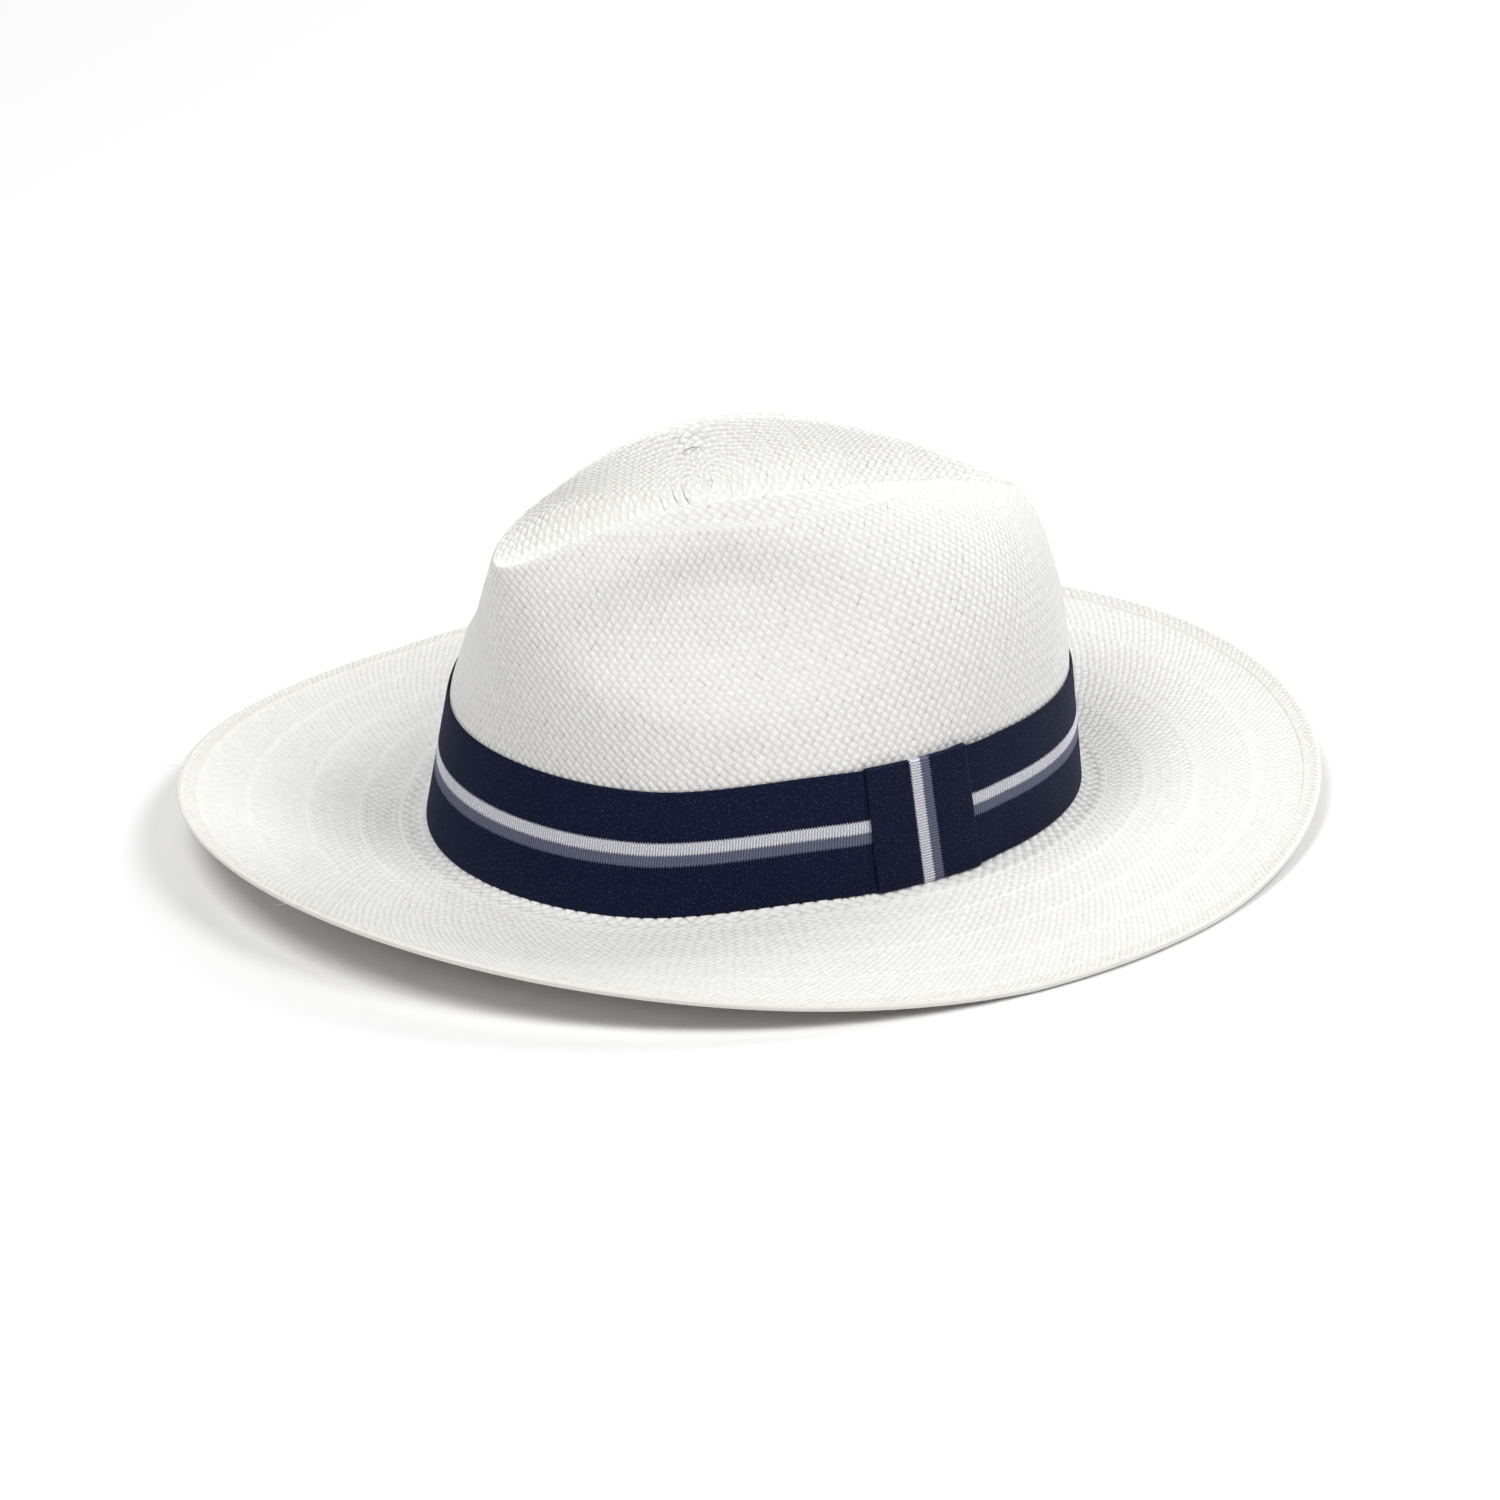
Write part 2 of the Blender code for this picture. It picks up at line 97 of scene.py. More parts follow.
@dataclass(frozen=True)
class HatBlock:
    """The shape that the straw is pressed to, with the sizes that the frame was built from."""

    half_length: float = 102.5 * MM
    half_width: float = 89.2 * MM
    egg: float = 0.03
    break_height: float = 4.9 * MM
    break_saddle: float = 1.9 * MM
    break_pitch: float = 0.2 * MM
    front_drop: float = 2.6 * MM
    front_rise: float = 1.1 * MM
    front_pull: float = 2.0 * MM
    front_lean: float = 4.8 * MM
    brim_width: float = 72.3 * MM
    brim_longer: float = 1.6 * MM
    rim_height: float = 7.7 * MM
    rim_saddle: float = 7.5 * MM
    rim_pitch: float = 3.7 * MM
    rim_least: float = 2.0 * MM
    edge_width: float = 6.2 * MM
    edge_thickness: float = 2.4 * MM
    band_zone: float = 38.5 * MM
    band_taper: float = 0.964
    ridge_front: float = 93.0 * MM
    ridge_back: float = 97.0 * MM
    ridge_narrow: float = 20.5 * MM
    ridge_wide: float = 34.0 * MM
    crown_top: float = 113.8 * MM
    top_place: float = -25.0 * MM
    fall_front: float = 3.0
    fall_back: float = 2.16
    dent_depth: float = 32.0 * MM
    pinch_depth: float = 7.5 * MM
    pinch_turn: float = 62.0
    pinch_level: float = 0.53

    def break_level(self, turn: Array) -> Array:
        """Height of the brim break above the table."""
        away, saddle = from_front(turn), self.break_saddle * np.cos(2.0 * turn)
        drop = self.front_drop * smooth_step(65.0, 35.0, away)
        rise = self.front_rise * smooth_step(40.0, 0.0, away)
        return self.break_height - saddle + self.break_pitch * np.cos(turn) - drop + rise

    def in_front(self, turn: Array) -> Array:
        """1 at the front and 0 at the back."""
        return (0.5 + 0.5 * np.cos(turn)) ** 1.5

    def oval(self, turn: Array, height: Array) -> Array:
        """A point on the straw's outside behind the ribbon, at a height above the brim break."""
        scale = 1.0 - (1.0 - self.band_taper) * height / self.band_zone
        across = self.half_width * scale * np.sin(turn) * (1.0 - self.egg * np.cos(turn))
        along = -self.half_length * scale * np.cos(turn)
        lean = self.front_pull + self.front_lean * height / self.band_zone
        along = along + lean * self.in_front(turn)
        return np.stack([across, along, self.break_level(turn) + height], -1)

    def outward(self, turn: Array) -> Array:
        """Level unit vector that points out of the head oval."""
        across, along = np.sin(turn) / self.half_width, -np.cos(turn) / self.half_length
        return unit(np.stack([across, along, 0.0 * turn], -1))

    def wall(self, turn: Array, off: Array, height: Array) -> Array:
        """A point that stands off the straw's outside by a distance, negative being inside."""
        return self.oval(turn, height) + self.outward(turn) * np.asarray(off)[..., None]

    def ridge(self, turn: Array) -> Array:
        """The crest around the dent: a teardrop, pointed in front."""
        swell = smooth_step(45.0, 100.0, from_front(turn))
        half = self.ridge_narrow + (self.ridge_wide - self.ridge_narrow) * swell
        reach = np.where(np.cos(turn) > 0.0, self.ridge_front, self.ridge_back)
        along = -reach * np.cos(turn)
        fall = np.where(along < self.top_place, self.fall_front, self.fall_back)
        height = self.crown_top - fall * (along - self.top_place) ** 2
        return np.stack([half * np.sin(turn), along, height], -1)

    def crown_side(self, turn: Array, share: Array) -> Array:
        """A point on the side, from the ribbon's top at share 0 to the ridge at share 1."""
        low, high, away = self.oval(turn, self.band_zone), self.ridge(turn), from_front(turn)
        full = 0.10 + 0.14 * smooth_step(0.0, 45.0, away)
        full = full + 0.70 * smooth_step(75.0, 118.0, away) - 0.08 * smooth_step(130.0, 180.0, away)
        inwards = (1.0 - full) * share + full * (1.0 - np.cos(share * np.pi / 2.0))
        upwards = (1.0 - full) * share + full * np.sin(share * np.pi / 2.0)
        point = low + (high - low) * np.stack([inwards, inwards, upwards], -1)
        return point - self.outward(turn) * self.pinch(away, share)[..., None]

    def pinch(self, away: Array, share: Array) -> Array:
        """How deep the side is pressed in by the thumb and fingers."""
        spread = np.where(away < self.pinch_turn, 40.0 + 14.0 * (share - 0.5), 33.0)
        reach = np.hypot((away - self.pinch_turn) / spread, (share - self.pinch_level) / 0.36)
        return self.pinch_depth * (1.0 - smooth_step(0.2, 1.0, reach))

    def dent_height(self, across: Array, along: Array) -> Array:
        """Height of the dent's floor at a place inside the ridge."""
        reach = np.where(along < 0.0, self.ridge_front, self.ridge_back)
        level = self.ridge(np.arccos(np.clip(-along / reach, -0.9999, 0.9999)))
        towards = np.clip(np.abs(across) / level[..., 0], 0.0, 1.0)
        depth = self.dent_depth * np.clip(1.0 - (along / reach) ** 2, 0.0, 1.0) ** 0.8
        return level[..., 2] - depth * (1.0 - towards**2) ** 1.3

    def brim_top(self, turn: Array, share: Array) -> Array:
        """A point on the brim's upper face, from the break at share 0 to the rim at share 1."""
        inner, away = self.oval(turn, 0.0 * turn), from_front(turn)
        width = self.brim_width + self.brim_longer * np.cos(2.0 * turn)
        rim = self.rim_height + self.edge_thickness / 2 + self.rim_saddle * np.cos(2.0 * turn)
        rim = np.maximum(rim + self.rim_pitch * np.cos(turn), self.rim_least)
        bend = 1.0 + 0.8 * smooth_step(60.0, 20.0, away) + 0.6 * smooth_step(120.0, 160.0, away)
        point = inner + self.outward(turn) * (width * share)[..., None]
        point[..., 1] -= self.front_pull * self.in_front(turn) * share
        rise = (rim - inner[..., 2]) * np.maximum(share, 0.0) ** bend
        point[..., 2] = inner[..., 2] + rise
        return point


class Skin:
    """A smooth surface kept as a fine grid, closed in turn, that points are read from."""

    def __init__(self, points: Array) -> None:
        """Keeps the grid and its normals.

        Args:
            points: grid of turn by run by xyz, with the outside to the left of a growing turn.
        """
        self.points = points
        ring = np.concatenate([points[-1:], points, points[:1]])
        turning = np.gradient(ring, axis=0)[1:-1]
        self.normals = unit(np.cross(np.gradient(points, axis=1), turning))

    def lined(self, thickness: float) -> "Skin":
        """Gives the wall's other side, which runs back the other way."""
        return Skin((self.points - self.normals * thickness)[:, ::-1])

    def read(self, turns: Array, runs: Array) -> tuple[Array, Array]:
        """Looks points and normals up between the grid's own.

        Args:
            turns: share of the full turn, wrapped round.
            runs: share of the run, 0 to 1.

        Returns:
            The points and the unit normals.
        """
        count, length = self.points.shape[:2]
        across = (turns % 1.0) * count
        along = np.clip(runs, 0.0, 1.0) * (length - 1)
        i, j = np.floor(across).astype(int), np.minimum(np.floor(along).astype(int), length - 2)
        fi, fj = (across - i)[..., None], (along - j)[..., None]
        i, ii = i % count, (i + 1) % count
        found = []
        for grid in (self.points, self.normals):
            near = grid[i, j] * (1.0 - fj) + grid[i, j + 1] * fj
            far = grid[ii, j] * (1.0 - fj) + grid[ii, j + 1] * fj
            found.append(near * (1.0 - fi) + far * fi)
        return found[0], unit(found[1])


def evened(grid: Array, turns: float, runs: float) -> Array:
    """Rounds a grid's creases by a blur of given widths, in grid steps."""
    for axis, width in ((0, turns), (1, runs)):
        reach = int(np.ceil(2.5 * width))
        steps = np.arange(-reach, reach + 1)
        weights = np.exp(-0.5 * (steps / width) ** 2)
        weights /= weights.sum()
        if axis == 0:
            longer = np.concatenate([grid[-reach:], grid, grid[:reach]])
        else:
            head = 2.0 * grid[:, :1] - grid[:, reach:0:-1]
            tail = 2.0 * grid[:, -1:] - grid[:, -2 : -2 - reach : -1]
            longer = np.concatenate([head, grid, tail], 1)
        places = np.arange(grid.shape[axis])
        grid = sum(w * np.take(longer, places + k, axis) for k, w in enumerate(weights))
    return grid


class Relief(Enum):
    """How a woven surface stands up from its skin."""

    TILES = 0.32 * MM
    SOFT = 0.22 * MM
    PLAIT = 0.46 * MM
    FACETS = 0.16 * MM


TILE_CORNERS = {
    3: [(0.5, -1.0), (0.5, 1.0), (-1.0, 0.0)],
    4: [(1.0, -1.0), (1.0, 1.0), (-1.0, 1.0), (-1.0, -1.0)],
}
TILE_SHRINK = {3: (0.66, 0.66), 4: (0.58, 0.84)}


@dataclass
class Ring:
    """One closed row of vertices, with the share of a turn at each."""

    ids: Array
    turns: Array


@dataclass(frozen=True)
class WeaveZone:
    """A stretch of weave with one number of strand crossings around."""

    columns: int
    start: float
    end: float
    rows: int
    relief: Relief = Relief.TILES


def turned_over(zones: list[WeaveZone]) -> list[WeaveZone]:
    """The same stretches on the inside, with facets and running back."""
    return [
        WeaveZone(z.columns, 1.0 - z.end, 1.0 - z.start, z.rows, Relief.FACETS)
        for z in reversed(zones)
    ]


def linked(name: str, mesh: bpy.types.Mesh) -> bpy.types.Object:
    """Makes an object of a mesh, smooth and linked to the scene."""
    mesh.shade_smooth()
    piece = bpy.data.objects.new(name, mesh)
    bpy.context.scene.collection.objects.link(piece)
    return piece


class StrawMesh:
    """Collects woven and plain stretches and makes one closed mesh of them."""

    most_points = 400000
    groove_depth = 0.34 * MM
    end_depth = 0.45
    # Painted shade in the hollows on the first and last rows of a stretch, as a share of the full
    # amount.
    end_groove_shade = 0.3
    shake = 0.04
    strand_spread = 0.13
    tile_spread = 0.1
    fibre_range = 40.0
    # Chances of a painted dark spot for the shade in small holes, outside and inside.
    hole_chance = 0.055
    hole_chance_inside = 0.012

    def __init__(self, seed: int) -> None:
        """Starts empty, with a seed for the random unevenness."""
        self.random = np.random.default_rng(seed)
        self.points = np.zeros((self.most_points, 3))
        self.total = 0
        self.faces: dict[int, list[tuple[Array, Array, Array]]] = {3: [], 4: []}

    def add_points(self, points: Array) -> Array:
        """Adds vertices and gives their numbers, in the same layout."""
        flat = points.reshape(-1, 3)
        ids = np.arange(self.total, self.total + len(flat)).reshape(points.shape[:-1])
        self.points[self.total : self.total + len(flat)] = flat
        self.total += len(flat)
        return ids

    def add_faces(self, ids: Array, tones: Array, uvs: Array) -> None:
        """Adds faces with their corner values.

        Args:
            ids: faces by corners.
            tones: faces by corners by (tone, painted shade of the hollows, painted shade of small
                holes).
            uvs: faces by corners by two, in millimetres along and across the strand.
        """
        self.faces[ids.shape[1]].append((ids, tones, uvs))

    def plain_faces(self, ids: Array, groove_shade: float = 0.2) -> None:
        """Adds faces that have no strand of their own, with an even amount of painted shade."""
        tones = np.zeros((*ids.shape, 3)) + np.array([0.5, groove_shade, 0.0])
        self.add_faces(ids, tones, self.points[ids][..., :2] / MM)

    def weave(self, skin: Skin, zone: WeaveZone) -> tuple[Ring, Ring]:
        """Weaves a stretch of plain weave set on its corner.

        Args:
            skin: the surface it lies on.
            zone: where it goes and how fine it is.

        Returns:
            Its first and last rings.
        """
        row = np.arange(zone.rows + 1)[:, None]
        step = (zone.end - zone.start) / zone.rows
        turns = (np.arange(zone.columns)[None] + 0.5 * (row % 2)) / zone.columns
        places = zone.start + step * row + 0.0 * turns
        inner = (row > 0) & (row < zone.rows)
        shake = self.random.normal(0.0, self.shake, (2, *turns.shape)) * inner
        spots, normals = skin.read(turns + shake[0] / zone.columns, places + shake[1] * step)
        depth = self.groove_depth * np.where(inner, 1.0, self.end_depth)
        ids = self.add_points(spots - normals * depth[..., None])
        inside = zone.relief is Relief.FACETS
        # Painted shade: full in the hollows of inner rows, less on the end rows, and a dark spot at a
        # few corners for the shade in small holes.
        chance = self.hole_chance_inside if inside else self.hole_chance
        groove_shades = np.where(inner, 1.0, self.end_groove_shade) + 0.0 * turns
        marks = np.stack([groove_shades, self.random.random(ids.shape) < chance], -1)
        strands = self.random.normal(0.0, self.strand_spread, (2, zone.columns))
        for b in range(zone.rows + 1):
            self.lay_row(ids, marks, strands, b, zone.relief)
        return Ring(ids[0], turns[0]), Ring(ids[-1], turns[-1])

    def weave_zones(self, skin: Skin, zones: list[WeaveZone]) -> tuple[Ring, Ring]:
        """Weaves several stretches one after the other and closes the bands between them."""
        ends = [self.weave(skin, zone) for zone in zones]
        for (_, before), (after, _) in zip(ends, ends[1:]):
            self.join(before, after)
        return ends[0][0], ends[-1][1]

    def lay_row(
        self, ids: Array, marks: Array, strands: Array, b: int, relief: Relief
    ) -> None:
        """Adds the tiles whose middles lie on one row.

        Args:
            ids: the vertex numbers, row by column.
            marks: how much painted shade of the hollows and of small holes each vertex carries.
            strands: how light each strand is, for both ways.
            b: the row.
            relief: how the tiles stand up.
        """
        rows, columns = ids.shape
        k, odd = np.arange(columns), b % 2
        tone = self.random.normal(0.5, self.tile_spread, columns)
        left, right = (b, (k - odd) % columns), (b, (k + 1 - odd) % columns)
        places = [right, left]
        if b < rows - 1:
            places.insert(0, (b + 1, k))
        if b > 0:
            places.insert(-1, (b - 1, k))
        strand = (k + (b // 2) * (1 if odd else -1)) % columns
        self.lay_tiles(
            np.stack([ids[place] for place in places], 1),
            np.stack([marks[place] for place in places], 1),
            np.clip(strands[odd][strand] + tone, 0.0, 1.0),
            bool(odd),
            relief,
        )

    def lay_tiles(
        self, ids: Array, marks: Array, tone: Array, across: bool, relief: Relief
    ) -> None:
        """Raises one tile inside each outline.

        Args:
            ids: outlines, tiles by three or four corners.
            marks: how much painted shade of the hollows and of small holes each vertex carries.
            tone: how light each tile is.
            across: True where the strand on top runs the other way.
            relief: how the tiles stand up.
        """
        points = self.points[ids]
        count, sides = ids.shape
        middle = points.mean(1)
        normal = unit(np.cross(points[:, 0] - points[:, sides // 2], points[:, 1] - points[:, -1]))
        grow = relief.value * (1.0 + self.random.normal(0.0, self.tile_spread, count))
        rise = normal * grow[:, None]
        drift = self.random.random((count, 2)) * self.fibre_range
        width = np.linalg.norm(points[:, 0] - points[:, 1], axis=1) / MM / 2.0
        signs = np.array(TILE_CORNERS[sides])[:, ::-1 if across else 1]
        low_uv = drift[:, None] + signs[None] * width[:, None, None]
        low_tone = np.concatenate([np.repeat(tone[:, None, None], sides, 1), marks], -1)
        # Tile tops keep the tile's tone but carry no painted shade.
        top_tone = low_tone * np.array([1.0, 0.0, 0.0])
        if relief is Relief.FACETS:
            centre = self.add_points(middle + rise)
            for s in range(sides):
                corners = [s, (s + 1) % sides]
                face = np.concatenate([ids[:, corners], centre[:, None]], 1)
                tones = np.concatenate([low_tone[:, corners], top_tone[:, :1]], 1)
                self.add_faces(face, tones, np.concatenate([low_uv[:, corners], drift[:, None]], 1))
            return
        shrink = np.array(TILE_SHRINK[sides])
        if sides == 4:
            p, q = (signs * shrink).T[:, :, None]
            shares = (1.0 + p * signs[:, 0]) * (1.0 + q * signs[:, 1]) / 4.0
            inner = np.einsum("ts,nsx->ntx", shares, points)
        else:
            inner = middle[:, None] + (points - middle[:, None]) * shrink[0]
        top_uv = drift[:, None] + (signs * shrink)[None] * width[:, None, None]
        top = self.add_points(inner + rise[:, None])
        self.add_faces(top, top_tone, top_uv)
        for s in range(sides):
            corners = [s, (s + 1) % sides]
            pairs = ((ids, top), (low_tone, top_tone), (low_uv, top_uv))
            self.add_faces(
                *(np.concatenate([low[:, corners], high[:, corners[::-1]]], 1) for low, high in pairs)
            )

    def rings(self, skin: Skin, runs: list[float], columns: int) -> tuple[Ring, Ring]:
        """Lays plain rings at given runs and gives the first and the last."""
        turns = np.repeat(np.arange(columns)[None] / columns, len(runs), 0)
        spots, normals = skin.read(turns, np.array(runs)[:, None] + 0.0 * turns)
        ids = self.add_points(spots - normals * self.groove_depth)
        after = np.roll(ids, -1, 1)
        self.plain_faces(np.stack([ids[1:], after[1:], after[:-1], ids[:-1]], -1).reshape(-1, 4))
        return Ring(ids[0], turns[0]), Ring(ids[-1], turns[-1])

    def join(self, before: Ring, after: Ring) -> None:
        """Closes the band between two rings whose vertices needn't match."""
        triangles = []
        i = j = 0
        count_i, count_j = len(before.ids), len(after.ids)
        while i < count_i or j < count_j:
            next_i = before.turns[(i + 1) % count_i] + (i + 1) // count_i
            next_j = after.turns[(j + 1) % count_j] + (j + 1) // count_j
            here_i, here_j = before.ids[i % count_i], after.ids[j % count_j]
            if j >= count_j or (i < count_i and next_i <= next_j):
                i += 1
                triangles.append((here_j, before.ids[i % count_i], here_i))
            else:
                j += 1
                triangles.append((here_j, after.ids[j % count_j], here_i))
        self.plain_faces(np.array(triangles))

    def cap(self, ring: Ring, first: bool) -> None:
        """Closes a small ring with a fan to its middle, at the run's start or its end."""
        middle = self.points[ring.ids].mean(0)
        centre = np.full(len(ring.ids), self.add_points(middle[None])[0])
        sides = [ring.ids, np.roll(ring.ids, -1)]
        # The fan carries a stronger painted shade.
        self.plain_faces(np.stack([*(sides if first else sides[::-1]), centre], 1), 0.6)

    def finish(self, name: str) -> bpy.types.Object:
        """Makes the mesh object.

        Args:
            name: the piece's name.

        Returns:
            The new object, linked to the scene.
        """
        points = self.points[: self.total].copy()
        points[:, 2] = np.maximum(points[:, 2], 0.0)
        groups = [group for sides in (4, 3) for group in self.faces[sides]]
        sizes = np.concatenate([np.full(len(ids), ids.shape[1]) for ids, _, _ in groups])
        loops = np.concatenate([ids.reshape(-1) for ids, _, _ in groups])
        tones = np.concatenate([values.reshape(-1, 3) for _, values, _ in groups])
        uvs = np.concatenate([values.reshape(-1, 2) for _, _, values in groups])
        mesh = bpy.data.meshes.new(name)
        mesh.vertices.add(len(points))
        mesh.vertices.foreach_set("co", points.astype(np.float32).reshape(-1))
        mesh.loops.add(len(loops))
        mesh.loops.foreach_set("vertex_index", loops.astype(np.int32))
        mesh.polygons.add(len(sizes))
        starts = np.concatenate([[0], np.cumsum(sizes)[:-1]])
        mesh.polygons.foreach_set("loop_start", starts.astype(np.int32))
        layer = mesh.uv_layers.new(name="Strand")
        layer.uv.foreach_set("vector", uvs.astype(np.float32).reshape(-1))
        # The Straw colour attribute holds each corner's tone, painted shade of the hollows and painted
        # shade of small holes.
        colours = np.concatenate([tones, np.ones((len(tones), 1))], 1)
        tone = mesh.color_attributes.new("Straw", "FLOAT_COLOR", "CORNER")
        tone.data.foreach_set("color", colours.astype(np.float32).reshape(-1))
        mesh.update(calc_edges=True)
        return linked(name, mesh)


class NodeSketch:
    """Adds shader nodes to a material and links them."""

    def __init__(self, name: str) -> None:
        """Starts a material with a Principled shader and an output."""
        self.material = bpy.data.materials.new(name)
        self.material.use_nodes = True
        self.tree = self.material.node_tree
        self.shader = next(n for n in self.tree.nodes if n.type == "BSDF_PRINCIPLED")

    def node(self, kind: str, settings: dict | None = None, **inputs: object) -> bpy.types.Node:
        """Adds one node.

        Args:
            kind: its type name.
            settings: attributes to set on it.
            **inputs: input sockets by name, with underscores for spaces, or in0, in1 by order;
                each is a value or another node's output socket.

        Returns:
            The node.
        """
        made = self.tree.nodes.new(kind)
        for key, value in (settings or {}).items():
            setattr(made, key, value)
        for key, value in inputs.items():
            order = key[2:] if key.startswith("in") and key[2:].isdigit() else None
            socket = made.inputs[int(order)] if order else made.inputs[key.replace("_", " ")]
            if isinstance(value, bpy.types.NodeSocket):
                self.tree.links.new(value, socket)
            else:
                socket.default_value = value
        return made

    def maths(self, operation: str, *values: object) -> bpy.types.NodeSocket:
        """Adds a maths node and gives its output."""
        inputs = {f"in{i}": value for i, value in enumerate(values)}
        return self.node("ShaderNodeMath", {"operation": operation}, **inputs).outputs[0]

    def ramp(self, factor: bpy.types.NodeSocket, stops: list[tuple]) -> bpy.types.NodeSocket:
        """Adds a colour ramp with (place, colour) stops and gives its colour."""
        made = self.node("ShaderNodeValToRGB", Fac=factor)
        elements = made.color_ramp.elements
        for place, _ in stops[2:]:
            elements.new(place)
        for element, (place, colour) in zip(elements, sorted(stops)):
            element.position = place
            element.color = (*colour, 1.0)
        return made.outputs["Color"]

    def mix(self, factor: object, first: object, second: object, way: str = "MIX") -> object:
        """Mixes two colours and gives the result."""
        made = self.node("ShaderNodeMix", {"data_type": "RGBA", "blend_type": way})
        for socket, value in zip((0, 6, 7), (factor, first, second)):
            if isinstance(value, bpy.types.NodeSocket):
                self.tree.links.new(value, made.inputs[socket])
            else:
                made.inputs[socket].default_value = value if socket == 0 else (*value, 1.0)
        return made.outputs[2]

    def noise(
        self, place: bpy.types.NodeSocket, stretch: tuple[float, float], detail: float
    ) -> bpy.types.NodeSocket:
        """Adds noise over a map that is stretched along its two axes and gives its value."""
        spread = self.node("ShaderNodeMapping", Vector=place, Scale=(*stretch, 1.0))
        vector = spread.outputs["Vector"]
        return self.node("ShaderNodeTexNoise", Vector=vector, Scale=1.0, Detail=detail).outputs[0]

    def surface(self, **values: float) -> None:
        """Sets inputs of the main shader by name, with underscores for spaces."""
        for key, value in values.items():
            self.shader.inputs[key.replace("_", " ")].default_value = value

    def bump(self, height: object, depth: float, strength: float = 1.0) -> None:
        """Raises the surface's shading by a height and a depth in metres."""
        made = self.node("ShaderNodeBump", Height=height, Distance=depth, Strength=strength)
        self.tree.links.new(made.outputs["Normal"], self.shader.inputs["Normal"])

    def colour(self, value: object) -> None:
        """Sets the base colour from a socket or a colour."""
        if isinstance(value, bpy.types.NodeSocket):
            self.tree.links.new(value, self.shader.inputs["Base Color"])
        else:
            self.shader.inputs["Base Color"].default_value = (*value, 1.0)


@dataclass(frozen=True)
class StrawFinish:
    """Bleached straw with a light gloss, with painted shade in the hollows between the tiles and
    painted dark spots for the shade in small holes.
    """

    name: str
    light: tuple[float, float, float]
    dull: tuple[float, float, float]
    # Colour of the painted shade in the hollows between the tiles.
    groove_shade: tuple[float, float, float]
    roughness: float = 0.42
    # Colour of the painted dark spots that stand for the shade seen in small holes of the weave.
    hole_shade: tuple[float, float, float] = (0.16, 0.12, 0.07)

    def material(self) -> bpy.types.Material:
        """Builds the shader."""
        sketch = NodeSketch(self.name)
        look = sketch.node("ShaderNodeAttribute", {"attribute_name": "Straw"})
        parts = sketch.node("ShaderNodeSeparateColor", Color=look.outputs["Color"])
        tone, groove_shade, hole_shade = (parts.outputs[k] for k in range(3))
        place = sketch.node("ShaderNodeUVMap", {"uv_map": "Strand"}).outputs["UV"]
        fibre = sketch.noise(place, (0.35, 6.0), 3.0)
        lit = sketch.maths("MULTIPLY_ADD", fibre, 0.45, sketch.maths("MULTIPLY", tone, 0.6))
        colour = sketch.ramp(lit, [(0.2, self.dull), (0.75, self.light)])
        # Painted shade: the hollows between the tiles are darkened towards their painted shade colour.
        deep = sketch.maths("MULTIPLY", sketch.maths("POWER", groove_shade, 1.6), 0.8)
        colour = sketch.mix(deep, colour, self.groove_shade)
        # Painted shade: a few tile corners get a dark spot for the shade in small holes.
        hole_shade_amount = sketch.maths("MULTIPLY", sketch.maths("POWER", hole_shade, 5.0), 0.95)
        sketch.colour(sketch.mix(hole_shade_amount, colour, self.hole_shade))
        rough = sketch.maths("MULTIPLY_ADD", groove_shade, 0.25, self.roughness)
        sketch.tree.links.new(rough, sketch.shader.inputs["Roughness"])
        sketch.surface(Specular_IOR_Level=0.45)
        sketch.bump(fibre, 0.06 * MM, 0.8)
        return sketch.material


